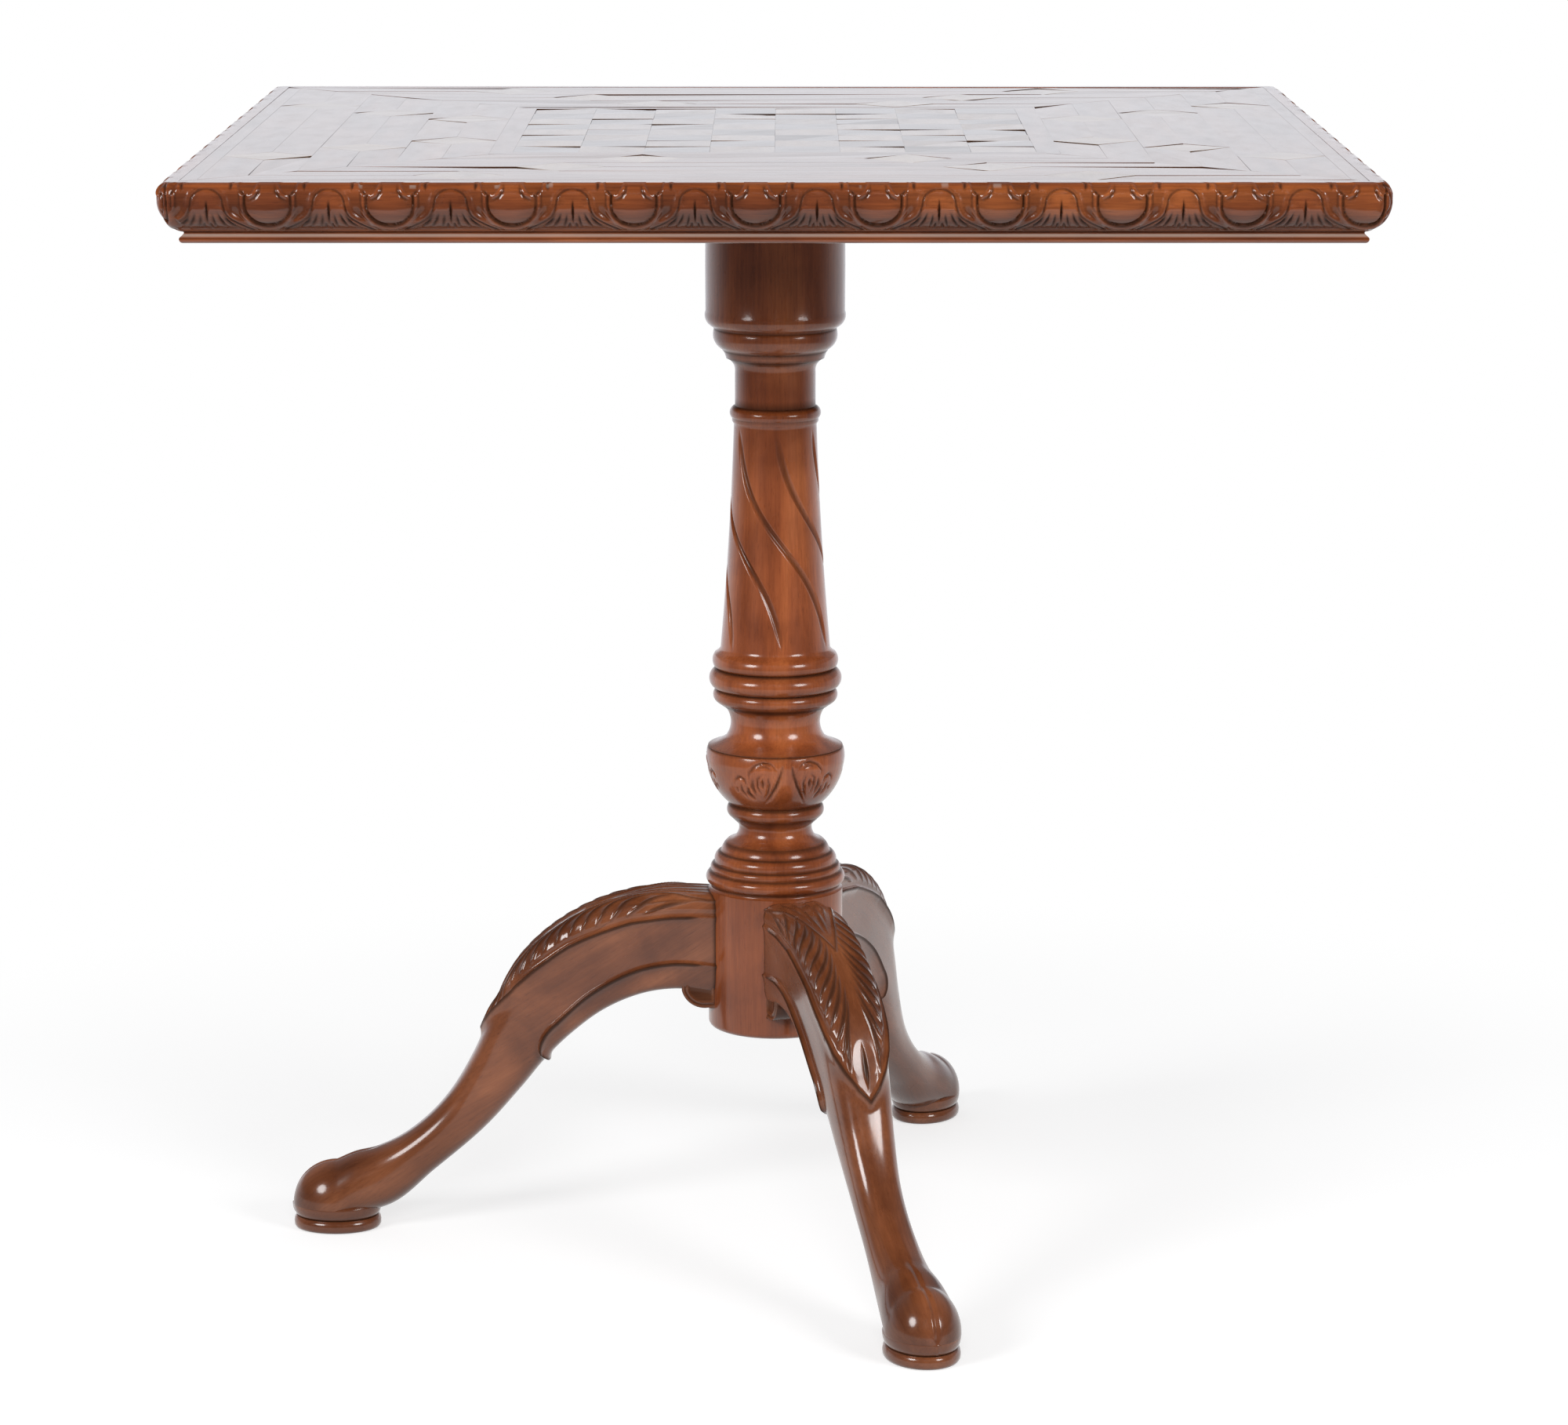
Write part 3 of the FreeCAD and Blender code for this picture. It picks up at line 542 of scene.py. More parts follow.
# Long narrow gouge cuts run from the crest out to the leaf's thin rolled margin. Each goes through three
# points: millimetres along the crest, and a share of the way from the crest to the margin.
leaf_flutes = (
    ((8.0, 0.66), (26.0, 0.72), (46.0, 0.84)),
    ((20.0, 0.50), (40.0, 0.60), (58.0, 0.84)),
    ((34.0, 0.38), (53.0, 0.52), (70.0, 0.84)),
    ((45.0, 0.30), (64.0, 0.47), (81.0, 0.84)),
    ((54.0, 0.23), (74.0, 0.42), (92.0, 0.84)),
    ((62.0, 0.14), (83.0, 0.36), (102.0, 0.84)),
    ((73.0, 0.11), (94.0, 0.34), (113.0, 0.84)),
    ((83.0, 0.10), (104.0, 0.34), (124.0, 0.84)),
    ((94.0, 0.12), (115.0, 0.36), (135.0, 0.84)),
    ((104.0, 0.13), (126.0, 0.37), (146.0, 0.84)),
    ((114.0, 0.10), (137.0, 0.34), (157.0, 0.83)),
    ((124.0, 0.12), (147.0, 0.37), (167.0, 0.82)),
    ((135.0, 0.22), (157.0, 0.48), (176.0, 0.82)),
)
leaf_lean = 1.3
strokes = []
for stroke in leaf_flutes:
    places, shares = np.array(stroke).T
    points = np.stack((places, shares * np.interp(places, leaf_runs, leaf_outs)), axis=1)
    path = smooth_run(np.linspace(0, 1, len(stroke)), points, np.linspace(0, 1, 11)).tolist()
    strokes.append((path, 3.3, 1.5, leaf_lean))
lines = deepest(along, out, strokes)

# A flat facet beside the hub, with two lines on it
facet_end = 84.0
facet_gap = np.interp(along, (0.0, 12.0, 40.0, 60.0, facet_end), (20.5, 19.0, 12.0, 7.0, 0.0)) - out
lines = lines * (1 - step_up(facet_gap, 0.0, 0.8) * (along < facet_end))
lines = np.maximum(lines, groove(facet_gap, 2.8, 1.3) * (along < facet_end + 1))
facet_cuts = (
    (((-4.0, 4.5), (30.0, 4.0), (62.0, 1.5)), 3.4, 0.8),
    (((-4.0, 12.5), (24.0, 10.0), (46.0, 5.5)), 3.4, 0.8),
)
lines = np.maximum(lines, deepest(along, out, facet_cuts))

# The tip is one plain swelling lobe with a tear-shaped cut
lobe = 1 - ((along - 172.0) / 18.0) ** 2 - (out / 8.0) ** 2
lines = lines * (1 - step_up(lobe, 0.0, 0.3))
tear = ((158.0, 0.0), (172.0, 0.0), (186.0, 0.0))
lines = np.maximum(lines, gouge(along, out, tear, 4.2, 1.9, leaf_lean))
lines = np.maximum(lines, groove(leaf_gap - 11.0, 2.2, 0.9) * (1 - step_up(along, 50.0, 62.0)))
lines = lines * step_up(leaf_gap, 0.0, 1.0)
roll_half = 2.6
roll = np.clip(1 - ((leaf_gap - roll_half) / roll_half) ** 2, 0, 1)
hump = 0.7 * roll * (1 - step_up(along, 158.0, 182.0)) + 0.8 * np.clip(lobe, 0, 1)
quirk = np.maximum(rounded_quirk(-leaf_gap, 3.2, 7.5), rounded_quirk(band_gap, 3.4, 8.0))
quirk = quirk * (0.4 + 0.6 * step_up(along, 0.0, 16.0))
relief = softened(hump - 0.8 * step_up(leaf_gap, 0.0, 2.0) - lines - quirk)
ridge = np.clip(1 - out / 2.4, 0, 1) * step_up(along, 306, 328)
relief += ridge * step_up(rise, foot_belly, foot_belly + 3.0)

# Wax and painted shade in the cuts and the quirks, wax in the joint with the hub, painted shade low on the
# foot above its pad, and the foot darker away from its crest
from_hub = np.hypot(net[:, :, 0], net[:, :, 1]) - hub_radius
toning = np.maximum.reduce((
    # wax with painted shade in the cuts and the quirks
    0.46 * lines + 0.05 * step_up(leaf_gap, 0.0, 1.0) + 0.75 * step_up(quirk, 1.6, 2.8),
    0.8 * np.exp(-(from_hub / 1.4) ** 2),
    # painted shade low on the foot, just above its pad
    0.35 * step_up(14.0 - rise, 0.0, 4.0),
    # the foot darker away from its crest
    0.22 * step_up(along, 236.0, 280.0) * step_up(out, 5.0, 14.0),
))

leg_tones = ((0.155, 0.047, 0.018), (0.225, 0.071, 0.027), (0.295, 0.100, 0.040))
leg_mahogany = polished_wood("leg_mahogany", leg_tones, 0.27, 1.0, 0.2, streak=0.45, mottle=1.0)
leg = carved_sheet(net, relief)
hollow = leg.verts.layers.float.new("hollow")
grain = leg.verts.layers.float_vector.new("grain")
leg.verts.ensure_lookup_table()
for vert, dark, run in zip(leg.verts, toning.ravel(), along.ravel()):
    vert[hollow] = min(dark, most_wax_and_shade)
    vert[grain] = Vector((run, vert.co.y, vert.co.x * 0.5 + vert.co.z * 0.8)) * millimetre
bmesh.ops.remove_doubles(leg, verts=leg.verts, dist=0.02)
bmesh.ops.holes_fill(leg, edges=[edge for edge in leg.edges if edge.is_boundary], sides=0)

# The oval pad under the foot, with a quirk above it, and the foot's ridge led down to it
pad_segments = 96
pad_ridge = 0.8
pad_rings = (
    (3.2, 0.0), (1.4, 0.5), (0.5, 2.0), (0.3, 4.5), (0.8, 7.0), (1.9, 8.2), (2.6, 8.6),
    (2.4, 9.0), (1.3, 10.2), (0.5, 12.5), (0.15, 15.0), (0.05, 16.6), (0.4, 17.3), (2.0, 18.5),
)
ring = bmesh.ops.create_circle(leg, cap_ends=True, segments=pad_segments, radius=1.0)["verts"]
bmesh.ops.scale(leg, vec=(foot_half_length, foot_half_width, 1), verts=ring)
bmesh.ops.translate(leg, vec=(foot_reach, 0, 0), verts=ring)
pad = set(ring)
edges = [edge for edge in leg.edges if pad.issuperset(edge.verts) and edge.is_boundary]
for number, (inset, rise) in enumerate(pad_rings):
    if number > 0:
        made = bmesh.ops.extrude_edge_only(leg, edges=edges)
        ring = made_of(bmesh.types.BMVert, made)
        edges = made_of(bmesh.types.BMEdge, made)
    for vert in ring:
        turn = math.atan2(vert.co.y / foot_half_width, (vert.co.x - foot_reach) / foot_half_length)
        ridge = pad_ridge * max(1 - abs(turn) * 10, 0) if 9.5 < rise < 18.0 else 0.0
        reach = foot_half_length - inset + ridge
        vert.co = (foot_reach + reach * math.cos(turn), (foot_half_width - inset) * math.sin(turn), rise)
        vert[hollow] = 0.85 if 8.3 < rise < 9.1 else 0.10
        vert[grain] = vert.co * millimetre

# The quarter-round drop that fills the angle between hub and leg, its cheeks carved in two sunk rings
drop_back = 38.0
drop_low = 158.0
drop_high = 180.0
drop_front = hub_radius + 17.9
drop_outline = [(drop_back, drop_low), (hub_radius, drop_low)]
drop_outline += arc_points(drop_outline[-1], (hub_radius + 13.5, 162.3), (drop_front, 170.0), 12)
drop_outline += [(drop_front, drop_high), (drop_back, drop_high)]
laid = len(leg.verts)
corners = [leg.verts.new((reach, 1.0 - leg_width / 2, rise)) for reach, rise in drop_outline]
cheek = leg.faces.new(corners)
made = bmesh.ops.extrude_face_region(leg, geom=[cheek])
far_side = made_of(bmesh.types.BMVert, made)
bmesh.ops.translate(leg, verts=far_side, vec=(0, leg_width - 2.0, 0))
far_cheek = made_of(bmesh.types.BMFace, made)[0]
for face, outward in ((cheek, -1), (far_cheek, 1)):
    face.normal_update()
    for thickness, rise in ((2.4, -1.1), (1.5, 1.0), (1.9, -1.0)):
        depth = rise * outward * face.normal.y
        bmesh.ops.inset_individual(leg, faces=[face], thickness=thickness, depth=depth, use_even_offset=True)
outer_verts = set(corners + far_side)
rim = []
for edge in leg.edges:
    first, second = edge.verts
    on_cheek = outer_verts.issuperset(edge.verts) and abs(first.co.y - second.co.y) < 0.1
    if on_cheek and min(first.co.x, second.co.x) > drop_back + 2.0:
        rim.append(edge)
bmesh.ops.bevel(leg, geom=rim, offset=1.6, segments=3, profile=0.5, affect="EDGES", material=-1)
leg.verts.ensure_lookup_table()
for vert in leg.verts[laid:]:
    vert[hollow] = 0.2 if abs(vert.co.y) > leg_width / 2 - 1.7 else 0.6
    vert[grain] = vert.co * millimetre


def turned_copy(shape, angle):
    """A copy of a shape, turned about the pillar's axis."""
    copy = shape.copy()
    bmesh.ops.rotate(copy, cent=(0, 0, 0), matrix=Matrix.Rotation(angle, 3, "Z"), verts=copy.verts)
    return copy


for name, azimuth in leg_azimuths.items():
    turned = turned_copy(leg, math.radians(azimuth))
    settle("cabriole_leg_" + name, turned, leg_mahogany, "base", "leg_" + name)
leg.free()


# BLOCK AND WEDGE
# The square block that the top tilts on, of mahogany, bored for the pillar's tenon and rounded on its tilting
# edge. A wedge driven into the tenon's saw cut locks the block to the pillar.
def dress(material, *nodes):
    """Gives carried-over pieces their finish."""
    for node in nodes:
        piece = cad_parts[node]
        piece.data.materials.clear()
        piece.data.materials.append(material)


waxed_tones = ((0.11, 0.036, 0.017), (0.18, 0.062, 0.028), (0.25, 0.095, 0.042))
waxed_mahogany = polished_wood("waxed_mahogany_lengthwise", waxed_tones, 0.45, 0.1, 0.3, along_x=True)
dress(waxed_mahogany, "tilt_block", "tenon_wedge")


# PINTLES
# Two short forged iron pins, driven into the block's ends, on which the bearers and the whole top turn.
# Their iron is dark and a little pitted.
def old_metal(name, tones, roughness, pit):
    """Metal with stains, fine pits and a dull bloom."""
    material = bpy.data.materials.new(name)
    material.use_nodes = True
    tree = material.node_tree
    place = add_node(tree, "TexCoord").outputs["Object"]
    toning = add_node(tree, "TexNoise", {"Vector": place, "Scale": 140.0, "Detail": 5.0}).outputs["Fac"]
    pits = add_node(tree, "TexNoise", {"Vector": place, "Scale": 1500.0}).outputs["Fac"]
    bump = add_node(tree, "Bump", {"Height": pits, "Strength": pit, "Distance": 0.0003})
    feed(tree, tree.nodes["Principled BSDF"], {
        "Base Color": ramp(tree, toning, (0.35, tones[0]), (0.65, tones[1])),
        "Metallic": 1.0,
        "Roughness": ranged(tree, toning, 0.0, 1.0, roughness + 0.15, roughness - 0.1),
        "Normal": bump.outputs["Normal"],
    })
    return material


forged_iron = old_metal("forged_iron", ((0.045, 0.040, 0.038), (0.13, 0.12, 0.115)), 0.5, 0.5)
dress(forged_iron, "pintle_front", "pintle_back")


# KEEPER
# A brass plate screwed to the block's side by two screws, with a hole that the lock bolt enters.
# The brass has gone brown where no hand rubs it.
old_brass = old_metal("old_brass", ((0.28, 0.17, 0.06), (0.62, 0.43, 0.17)), 0.32, 0.15)
dress(old_brass, "keeper_plate", "keeper_screws")


# GROUND BOARDS
# Five plain boards glued edge to edge carry the parquetry. Their underside was never polished, only stained.
# Their grain runs from side to side, along the bearers' length.
board_tones = ((0.10, 0.050, 0.026), (0.17, 0.088, 0.045), (0.24, 0.130, 0.068))
stained_board = polished_wood("stained_boards", board_tones, 0.85, 0.0, 0.0, along_x=True)
dress(stained_board, "ground_boards")


# CHESSBOARD
# Sixty-four squares of dark and light veneer, sawn thick, laid on the ground boards with their grain turned
# from square to square. Age has opened the joints a little and lifted some edges.
chance = random.Random(41)
table_top = 748.0
veneer_thickness = 3.0
veneer_foot = table_top - veneer_thickness + 0.1
eased_arris = 0.18
square = 41.0
squares_per_side = 8
board_half = square * squares_per_side / 2
square_joint = 0.55
square_lift = 0.8
tile_crisp = 15


def lay_tile(shape, corners, turn, joint, lift):
    """One piece of veneer: its edges drawn in by the joint, its arrises eased, its corners uneven."""
    hollow = shape.verts.layers.float["hollow"]
    grain = shape.verts.layers.float_vector["grain"]
    laid = len(shape.verts)
    middle = sum((Vector(corner) for corner in corners), Vector((0, 0))) / 4
    base = shape.faces.new([shape.verts.new((*corner, veneer_foot)) for corner in corners])
    rim = bmesh.ops.inset_individual(shape, faces=[base], thickness=joint, use_even_offset=True)["faces"]
    bmesh.ops.delete(shape, geom=rim, context="FACES")
    made = bmesh.ops.extrude_face_region(shape, geom=[base])
    levels = []
    for vert in made_of(bmesh.types.BMVert, made):
        vert.co.z = table_top - 0.05 - 0.10 * chance.random() - lift * chance.random() ** 6
        levels.append(vert.co.copy())
    arrises = list(made_of(bmesh.types.BMFace, made)[0].edges)
    bmesh.ops.bevel(
        shape, geom=arrises, offset=eased_arris, segments=2, profile=0.5, affect="EDGES", material=-1,
    )
    offset = Vector((chance.uniform(-1, 1), chance.uniform(-1, 1), chance.uniform(-1, 1)))
    cosine, sine = math.cos(turn), math.sin(turn)
    shape.verts.ensure_lookup_table()
    for vert in shape.verts[laid:]:
        x, y = vert.co.xy - middle
        level = min(levels, key=lambda corner: (corner.xy - vert.co.xy).length)
        run = Vector((x * cosine + y * sine, y * cosine - x * sine, vert.co.z)) * millimetre
        vert[grain] = run + offset
        vert[hollow] = 0.95 if vert.co.z < level.z - 0.1 else 0.0


def new_veneer():
    """An empty bmesh with the layers that a veneer's finish reads."""
    shape = bmesh.new()
    shape.verts.layers.float.new("hollow")
    shape.verts.layers.float_vector.new("grain")
    return shape


def polished_veneer(name, *tones):
    """The hard, smooth polish that all the veneers share."""
    return polished_wood(name, tones, 0.13, 0.5, 0.5)


dark_squares = polished_veneer(
    "dark_square_veneer", (0.045, 0.018, 0.010), (0.085, 0.034, 0.018), (0.125, 0.052, 0.027))
light_squares = polished_veneer(
    "light_square_veneer", (0.205, 0.105, 0.050), (0.300, 0.165, 0.082), (0.385, 0.230, 0.120))
for colour, (name, finish) in enumerate((("dark", dark_squares), ("light", light_squares))):
    squares = new_veneer()
    for column in range(squares_per_side):
        for row in range(squares_per_side):
            if (column + row) % 2 == colour:
                x = -board_half + column * square
                y = -board_half + row * square
                corners = ((x, y), (x + square, y), (x + square, y + square), (x, y + square))
                lay_tile(squares, corners, math.pi / 2 * colour, square_joint, square_lift)
    node = "chess_" + name + "_squares"
    settle("chess_squares_" + name, squares, finish, "top", node, tile_crisp)


# BORDER AND OUTER BAND
# Mitred strips of straight-grained mahogany: a border round the chessboard and a narrow band inside the edge.
# They are glued down like the squares, and rubbed level with them.
border_width = 14.5
field_half = 352.0
band_width = 10.0
band_joint = 0.35
band_lift = 0.4
band_veneer = polished_veneer(
    "band_veneer", (0.115, 0.040, 0.019), (0.190, 0.070, 0.032), (0.265, 0.105, 0.048))


def lay_round(shape, outline, turn, joint, lift):
    """A piece of veneer and its copies on the other three sides of the table."""
    for side in range(4):
        lay_tile(shape, outline, turn + math.pi / 2 * side, joint, lift)
        outline = [(-y, x) for x, y in outline]


for name, inner_half, outer_half, node in (
    ("board_border_strips", board_half, board_half + border_width, "board_border"),
    ("outer_band_strips", field_half - band_width, field_half, "outer_band"),
):
    strips = new_veneer()
    outer_corners = [(-outer_half, -outer_half), (outer_half, -outer_half)]
    inner_corners = [(inner_half, -inner_half), (-inner_half, -inner_half)]
    lay_round(strips, outer_corners + inner_corners, 0.0, band_joint, band_lift)
    settle(name, strips, band_veneer, "top", node, tile_crisp)


# PARQUETRY FRAMES
# Three mitred frames round the board, each of paired laths that meet on a centre joint, and broken by two
# paler diamonds a side. The laths' grain runs along their frame and the diamonds' runs across it.
strip_width = (field_half - board_half - border_width - band_width) / 3
half = strip_width / 2
lath_joint = 0.40
lath_lift = 0.6
diamond_lift = 0.5
lath_veneer = polished_veneer(
    "lath_veneer", (0.140, 0.052, 0.025), (0.225, 0.090, 0.042), (0.310, 0.135, 0.064))
diamond_veneer = polished_veneer(
    "diamond_veneer", (0.260, 0.145, 0.064), (0.365, 0.220, 0.105), (0.450, 0.290, 0.150))
diamonds = new_veneer()
inner_half = board_half + border_width
for name, place in (("inner", 0.40), ("middle", 0.50), ("outer", 0.60)):
    outer_half = inner_half + strip_width
    middle_half = (inner_half + outer_half) / 2
    spot = middle_half * place
    outside, centre, inside = -outer_half, -middle_half, -inner_half
    lath_outlines = (
        ((outside, outside), (-spot, outside), (-spot - half, centre), (centre, centre)),
        ((centre, centre), (-spot - half, centre), (-spot, inside), (inside, inside)),
        ((outer_half, outside), (middle_half, centre), (spot + half, centre), (spot, outside)),
        ((middle_half, centre), (inner_half, inside), (spot, inside), (spot + half, centre)),
        ((-spot, outside), (spot, outside), (spot - half, centre), (-spot + half, centre)),
        ((-spot + half, centre), (spot - half, centre), (spot, inside), (-spot, inside)),
    )
    laths = new_veneer()
    for outline in lath_outlines:
        lay_round(laths, outline, 0.0, lath_joint, lath_lift)
    settle("laths_" + name, laths, lath_veneer, "top", "parquetry_" + name, tile_crisp)
    for x in (-spot, spot):
        outline = ((x, centre - half), (x + half, centre), (x, centre + half), (x - half, centre))
        lay_round(diamonds, outline, math.pi / 2, lath_joint, diamond_lift)
    inner_half = outer_half
settle("diamonds", diamonds, diamond_veneer, "top", "parquetry_diamonds", tile_crisp)


# EDGE MOULDING
# Four lengths of mahogany planted round the boards and mitred at the corners. A fat torus is carved by hand
# with eggs in pairs of ears between tall leaves, over a bead and a plain fascia; wax and painted shade are
# black in the cuts.
arris = 361.5
widest = 3.95
corner_centre = 354.5
edge_columns = 1240
edge_outline = [(-9.5, 0.05), (-5.0, 0.05), (-1.6, 0.05), (-0.7, 0.1), (-0.15, 0.35)]
edge_outline += arc_points(edge_outline[-1], (3.2, 4.3), (4.0, 10.0), 15)
edge_outline += arc_points((4.0, 10.0), (-0.8, 23.8), (-11.2, 30.1), 34)
edge_outline += [(-11.8, 30.5), (-11.8, 31.2), (-11.1, 31.9), (-10.0, 33.0), (-9.4, 33.5), (-9.1, 34.1)]
edge_outline += arc_points((-9.1, 34.1), (-9.7, 36.0), (-11.8, 37.0), 8)
edge_outline += [(-17.0, 37.0), (-25.5, 37.0), (-25.5, 20.0), (-25.5, 3.1), (-17.0, 3.1), (-9.5, 3.1)]
edge_outline.append(edge_outline[0])
outward, drop = np.array(edge_outline).T[:, :, None]
outward = np.minimum(outward, widest)
reach = arris + outward
run = np.linspace(-1, 1, edge_columns + 1) * reach
beyond = np.maximum(np.abs(run) - corner_centre, 0)
depth_in = np.maximum(reach - corner_centre, 1e-6)
round_corner = (np.abs(run) > corner_centre) & (reach > corner_centre)
swing = math.pi / 4 * np.clip(beyond / depth_in, 0, 1)
net = np.zeros((len(edge_outline), edge_columns + 1, 3))
net[:, :, 0] = np.where(round_corner, np.sign(run) * (corner_centre + depth_in * np.sin(swing)), run)
net[:, :, 1] = -np.where(round_corner, corner_centre + depth_in * np.cos(swing), reach)
net[:, :, 2] = table_top - drop

# Millimetres down from the top, from the nearest egg's and leaf's middles, and out from the leaf's arch
pitch = 71.95
first_egg = -298.5
egg_drop = 12.8
egg_radius = 13.9
arch_drop = 12.6
arch_radius = 9.5
carving_end = 30.0
down = np.repeat(drop, edge_columns + 1, axis=1)
egg_number = np.round((run - first_egg) / pitch)
wobble = np.sin(egg_number * 2.4 + 0.7) * 0.035
from_egg = np.abs((run - first_egg - egg_number * pitch) * (1 + wobble))
egg = np.hypot(from_egg, np.maximum(down - egg_drop, 0.0))
leaf_number = np.round((run - first_egg) / pitch + 0.5)
from_leaf = run - first_egg - (leaf_number - 0.5) * pitch
from_leaf = np.abs(from_leaf * (1 + 0.03 * np.sin(leaf_number * 1.9)))
shoulder = np.hypot(from_leaf, down - arch_drop) - arch_radius
flare_down = (arch_drop, 14.0, 18.0, 20.0, 22.0, 24.0, 26.0, 28.5, 40.0)
flare_out = (arch_radius, 9.9, 11.0, 12.1, 14.2, 17.3, 20.8, 26.0, 40.0)
flare_slant = (1.0, 1.03, 1.08, 1.3, 1.6, 1.85, 2.0, 2.2, 2.2)
flare = (from_leaf - np.interp(down, flare_down, flare_out)) / np.interp(down, flare_down, flare_slant)
arch = np.where(down < arch_drop, shoulder, flare)

# The egg in its ears, the hollow ground beside it, and the outlines of both and of the leaf
valley = step_up(egg, egg_radius + 1.5, egg_radius + 5.0) * step_up(arch, 1.4, 4.5)
form = valley * (1.5 * step_up(down, 2.0, 9.0) + 0.9 * step_up(down, 9.0, 20.0))
form = np.where(egg < egg_radius, 0.5 + 1.3 * (egg / egg_radius) ** 3, form)
lines = groove(egg - egg_radius - 0.3, 2.1, 1.3) * step_up(down, 5.0, 9.0)
rim = egg_radius + 2.9 * (1 - step_up(down, 12.0, 24.0))
lines = np.maximum(lines, groove(egg - rim - 0.3, 1.8, 0.8) * step_up(down, 3.6, 5.0))
ear = gouge(from_egg, down, ((6.2, 0.4), (6.8, 3.6), (8.6, 6.6), (12.2, 8.8)), 3.4, 1.0)
scallop = step_up(6.2 - np.hypot(from_egg - 12.4, down - 1.2), 0.0, 1.6)
form = (form * (1 - scallop) + 1.5 * scallop) * (1 - ear)
lines = lines * (1 - np.maximum(step_up(ear, 0.0, 0.3), scallop))
ear_cuts = (
    (((12.6, 8.6), (14.6, 6.4), (16.2, 3.2)), 2.0, 0.9),
    (((4.4, 0.2), (4.9, 4.6), (7.2, 8.4), (12.0, 10.9)), 2.0, 1.0),
)
arch_lines = np.maximum(groove(arch - 1.8, 1.5, 0.6), groove(arch, 2.1, 1.3)) * step_up(down, 2.0, 4.0)
lines = np.maximum.reduce((lines, arch_lines, deepest(from_egg, down, ear_cuts)))

# The leaf inside its arch, with its veins
inside = step_up(-arch, 0.8, 2.2)
leaf_form = 0.3 + 0.9 * step_up(down, 14.0, 24.0) + 0.9 * step_up(from_leaf, 3.0, 9.0) * (down < 14.0)
form = form * (1 - inside) + inside * leaf_form
veins = (
    (((0.0, 9.5), (0.0, 14.0), (0.0, 25.5)), 1.7, 1.6),
    (((3.4, 18.5), (3.9, 23.0), (5.2, 28.4)), 2.0, 0.8),
    (((6.6, 17.6), (8.2, 23.0), (11.4, 28.2)), 2.2, 0.9),
    (((9.4, 17.2), (12.4, 23.4), (17.4, 28.4)), 2.2, 0.9),
    (((1.6, 24.5), (2.4, 28.6)), 1.8, 0.7),
    (((14.3, -1.5), (14.6, 1.5), (14.2, 4.2)), 2.2, 1.2),
)
lines = np.maximum(lines, deepest(from_leaf, down, veins))

# The corner boss: a curled leaf of nested ovals at one end of each length
corner = arris + 4.0 - np.abs(run) * arris / reach
curl = np.hypot((corner - 4.6) / 5.2, (down - 12.0) / 11.0)
near_corner = (1 - step_up(corner, 12.5, 14.0)) * (run < 0)
curl_lines = groove((curl - 1.0) * 6.0, 2.1, 1.3) + groove((curl - 0.5) * 6.0, 1.9, 1.1)
form = form * (1 - near_corner) + near_corner * 1.4 * step_up(curl, 1.2, 1.9)
lines = lines * (1 - near_corner) + near_corner * curl_lines
carved = (down > 0.06) & (down < carving_end) & (outward > -12)
fade = np.where(carved, step_up(carving_end - down, 0.0, 1.6), 0.0)
relief = -softened(form + lines) * fade

# Wax and painted shade in the cuts and the quirks by the fascia, painted shade in the sunk ground and over
# the torus's lower half, polish worn off in chips at the arris, and painted highlights on the fascia's slope
# and lower edge
low = (outward < -8.9) & (down > 20.0)
# wax with painted shade in the cuts, painted shade in the sunk ground and down the torus's lower half
toning = (0.78 * softened(lines) + 0.20 * form + 0.10 * step_up(down, 14.0, 26.0)) * fade
for strength, middle, width in ((0.85, 30.7, 0.6), (0.75, 34.0, 0.35)):
    toning = np.maximum(toning, strength * np.exp(-((down - middle) / width) ** 2) * low)
chips = np.sin(run * 0.31 + 1.7) * np.sin(run * 0.083) * np.sin(run * 0.011 + 0.4)
worn_and_highlit = np.maximum.reduce((
    0.40 * step_up(chips, 0.66, 0.75) * (1 - step_up(down, 1.5, 3.2)) * (down > 0.2),
    # painted highlights: the fascia's upward slope and its rounded lower edge
    0.75 * step_up(down, 31.3, 31.8) * (1 - step_up(down, 32.7, 33.4)) * low,
    0.4 * np.exp(-((down - 36.7) / 0.4) ** 2) * low,
))

edge_tones = ((0.120, 0.028, 0.009), (0.225, 0.055, 0.014), (0.335, 0.092, 0.022))
edge_mahogany = polished_wood("carved_mahogany", edge_tones, 0.24, 1.0, 0.3)
edge = carved_sheet(net, relief)
hollow = edge.verts.layers.float.new("hollow")
wear_and_highlight = edge.verts.layers.float.new("wear_and_highlight")
grain = edge.verts.layers.float_vector.new("grain")
edge.verts.ensure_lookup_table()
for vert, dark, pale in zip(edge.verts, toning.ravel(), worn_and_highlit.ravel()):
    vert[hollow] = min(max(dark, 0.0), 0.92)
    vert[wear_and_highlight] = pale
    vert[grain] = vert.co * millimetre
bmesh.ops.remove_doubles(edge, verts=edge.verts, dist=0.005)
bmesh.ops.holes_fill(edge, edges=[item for item in edge.edges if item.is_boundary], sides=0)
for side, name in enumerate(("front", "right", "back", "left")):
    turned = turned_copy(edge, math.pi / 2 * side)
    settle("carved_edge_" + name, turned, edge_mahogany, "top", "edge_moulding_" + name)
edge.free()


# BEARERS
# Two mahogany rails screwed up under the boards, tapered at their ends, which hold the top flat and ride on
# the pintles. Their iron screws sit deep in counterbores.
dress(waxed_mahogany, "bearer_front", "bearer_back")
dress(forged_iron, "bearer_screws")


# LOCK BOLT
# A round brass bolt that slides in two guides cast on its plate, with a turned knob to draw it by.
# The plate is held up under the boards by four brass screws.
dress(old_brass, "bolt_plate", "bolt_screws", "lock_bolt")


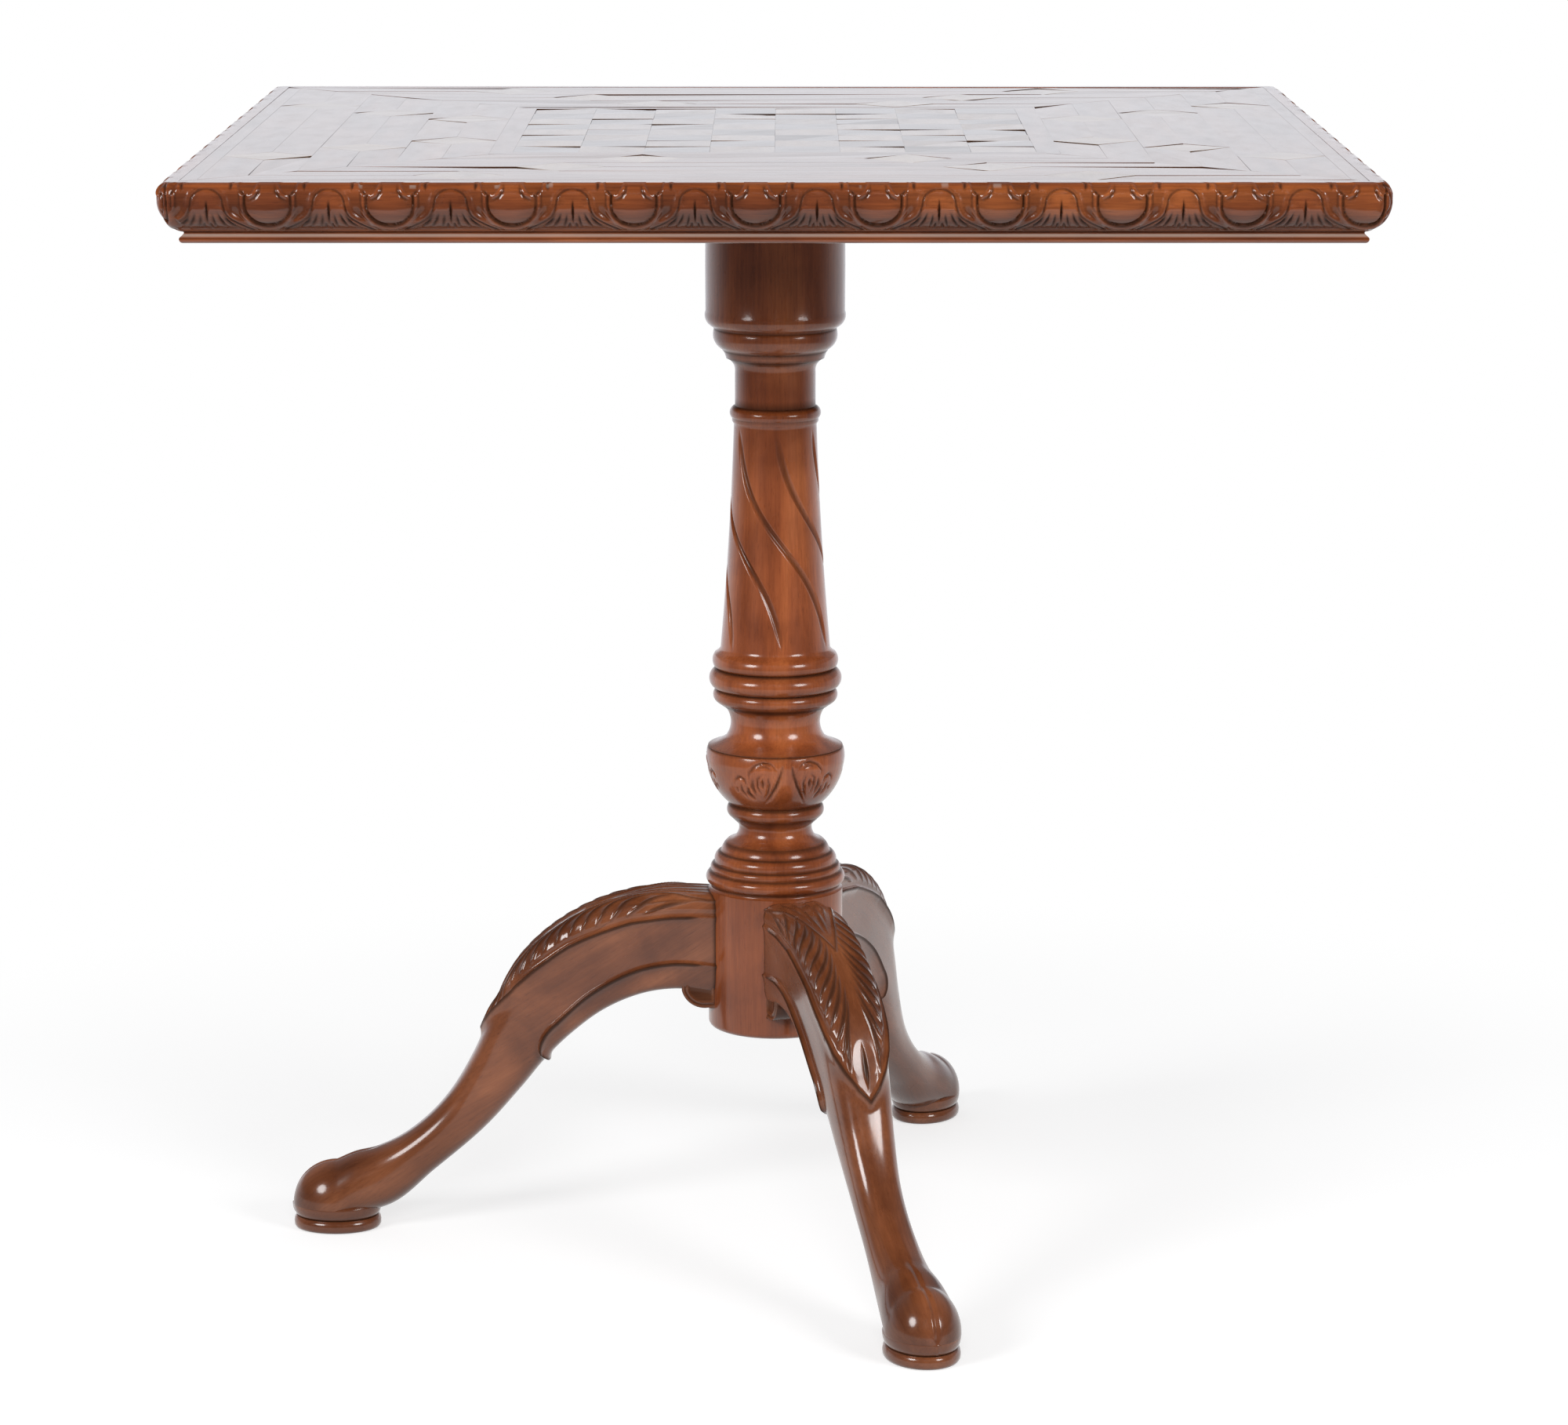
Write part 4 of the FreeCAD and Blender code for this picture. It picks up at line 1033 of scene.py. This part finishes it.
# STUDIO
# A pale floor that fades into a white surround, two soft boxes and a weak lamp in front, and the camera
# where the photographer's stood, a little above the top.
def choose(tree, share, first, second):
    """One of two shaders, or a share of both."""
    return add_node(tree, "MixShader", {0: share, 1: first, 2: second}).outputs["Shader"]


def both(tree, first, second):
    """The sum of two shaders."""
    return add_node(tree, "AddShader", {0: first, 1: second}).outputs["Shader"]


def worked_out(tree, operation, first, second):
    """Two values joined by arithmetic."""
    return add_node(tree, "Math", {0: first, 1: second}, operation=operation).outputs["Value"]


# The floor glows a little, so that only soft shadows show on it, and it is clear from below
floor_radius = 1.3
floor_glow = 0.62
floor_shape = bmesh.new()
bmesh.ops.create_circle(floor_shape, cap_ends=True, segments=96, radius=floor_radius)
bmesh.ops.translate(floor_shape, vec=(0, 0, -0.0002), verts=floor_shape.verts)
floor_mesh = bpy.data.meshes.new("floor")
floor_shape.to_mesh(floor_mesh)
floor_shape.free()
floor = show("floor", floor_mesh)
floor_paint = bpy.data.materials.new("floor_paint")
floor_paint.use_nodes = True
tree = floor_paint.node_tree
tree.nodes.remove(tree.nodes["Principled BSDF"])
rays = add_node(tree, "LightPath").outputs
place = add_node(tree, "TexCoord").outputs["Object"]
distance = add_node(tree, "VectorMath", {0: place}, operation="LENGTH").outputs["Value"]
fade = ranged(tree, distance, 0.45, 1.0, 0.0, 1.0, "SMOOTHSTEP")
matt = add_node(tree, "BsdfDiffuse", {"Color": (0.5, 0.5, 0.5, 1)}).outputs["BSDF"]
glow = add_node(tree, "Emission", {"Strength": floor_glow}).outputs["Emission"]
white = add_node(tree, "Emission", {"Strength": 1.0}).outputs["Emission"]
to_camera = choose(tree, fade, both(tree, matt, glow), white)
dim_matt = add_node(tree, "BsdfDiffuse", {"Color": (0.30, 0.30, 0.30, 1)}).outputs["BSDF"]
gleam = worked_out(tree, "MULTIPLY", rays["Is Glossy Ray"], floor_glow)
gleam = add_node(tree, "Emission", {"Strength": gleam}).outputs["Emission"]
upper_side = choose(tree, rays["Is Camera Ray"], both(tree, dim_matt, gleam), to_camera)
clear = add_node(tree, "BsdfTransparent").outputs["BSDF"]
from_below = add_node(tree, "NewGeometry").outputs["Backfacing"]
paint = choose(tree, from_below, upper_side, clear)
tree.links.new(paint, tree.nodes["Material Output"].inputs["Surface"])
floor_mesh.materials.append(floor_paint)

# The surround is white to the camera, and to the table and in its polish dim in front and bright behind
surround = bpy.data.worlds.new("surround")
bpy.context.scene.world = surround
surround.use_nodes = True
tree = surround.node_tree
way = add_node(tree, "SeparateXYZ", {"Vector": add_node(tree, "TexCoord").outputs["Generated"]}).outputs
ambient = tree.nodes["Background"]
daylight = ranged(tree, way["Y"], -0.3, 0.7, 0.26, 0.55, "SMOOTHSTEP")
feed(tree, ambient, {"Color": (0.97, 0.98, 1.0, 1), "Strength": daylight})
room = ranged(tree, way["Y"], -0.3, 0.7, 0.14, 0.96, "SMOOTHSTEP")
ceiling = ranged(tree, way["Z"], 0.11, 0.27, 1.0, 0.3, "SMOOTHSTEP")
room = worked_out(tree, "MULTIPLY", room, ceiling)
mirrored = add_node(tree, "Background", {"Color": (0.94, 0.95, 1.0, 1), "Strength": room})
backdrop = add_node(tree, "Background", {"Color": (1, 1, 1, 1), "Strength": 1.0})
rays = add_node(tree, "LightPath").outputs
in_polish = worked_out(tree, "MAXIMUM", rays["Is Glossy Ray"], rays["Is Transmission Ray"])
lighting = choose(tree, in_polish, ambient.outputs["Background"], mirrored.outputs["Background"])
view = choose(tree, rays["Is Camera Ray"], lighting, backdrop.outputs["Background"])
tree.links.new(view, tree.nodes["World Output"].inputs["Surface"])

lamp_aim = Vector((0, 0, 0.45))
for name, place, power, in_gloss in (
    ("soft_box_left", (-1.87, -1.80, 1.45), 36.0, True),
    ("soft_box_right", (1.87, -1.80, 1.45), 32.0, True),
    ("front_fill", (0.0, -2.70, 1.65), 24.0, False),
):
    lamp = bpy.data.lights.new(name, "AREA")
    lamp.shape = "DISK"
    lamp.size = 1.0
    lamp.energy = power
    stand = show(name, lamp)
    stand.location = place
    stand.rotation_euler = (lamp_aim - Vector(place)).to_track_quat("-Z", "Y").to_euler()
    stand.visible_glossy = in_gloss

camera_tilt = 11.31
lens = bpy.data.cameras.new("photo_camera")
lens.sensor_width = 36.0
lens.lens = 120.05
camera = show("photo_camera", lens)
camera.location = (0.0058, -3.442, 1.046)
camera.rotation_euler = (math.radians(90 - camera_tilt), 0, 0)
bpy.context.scene.camera = camera
bpy.context.scene.view_settings.view_transform = "Standard"
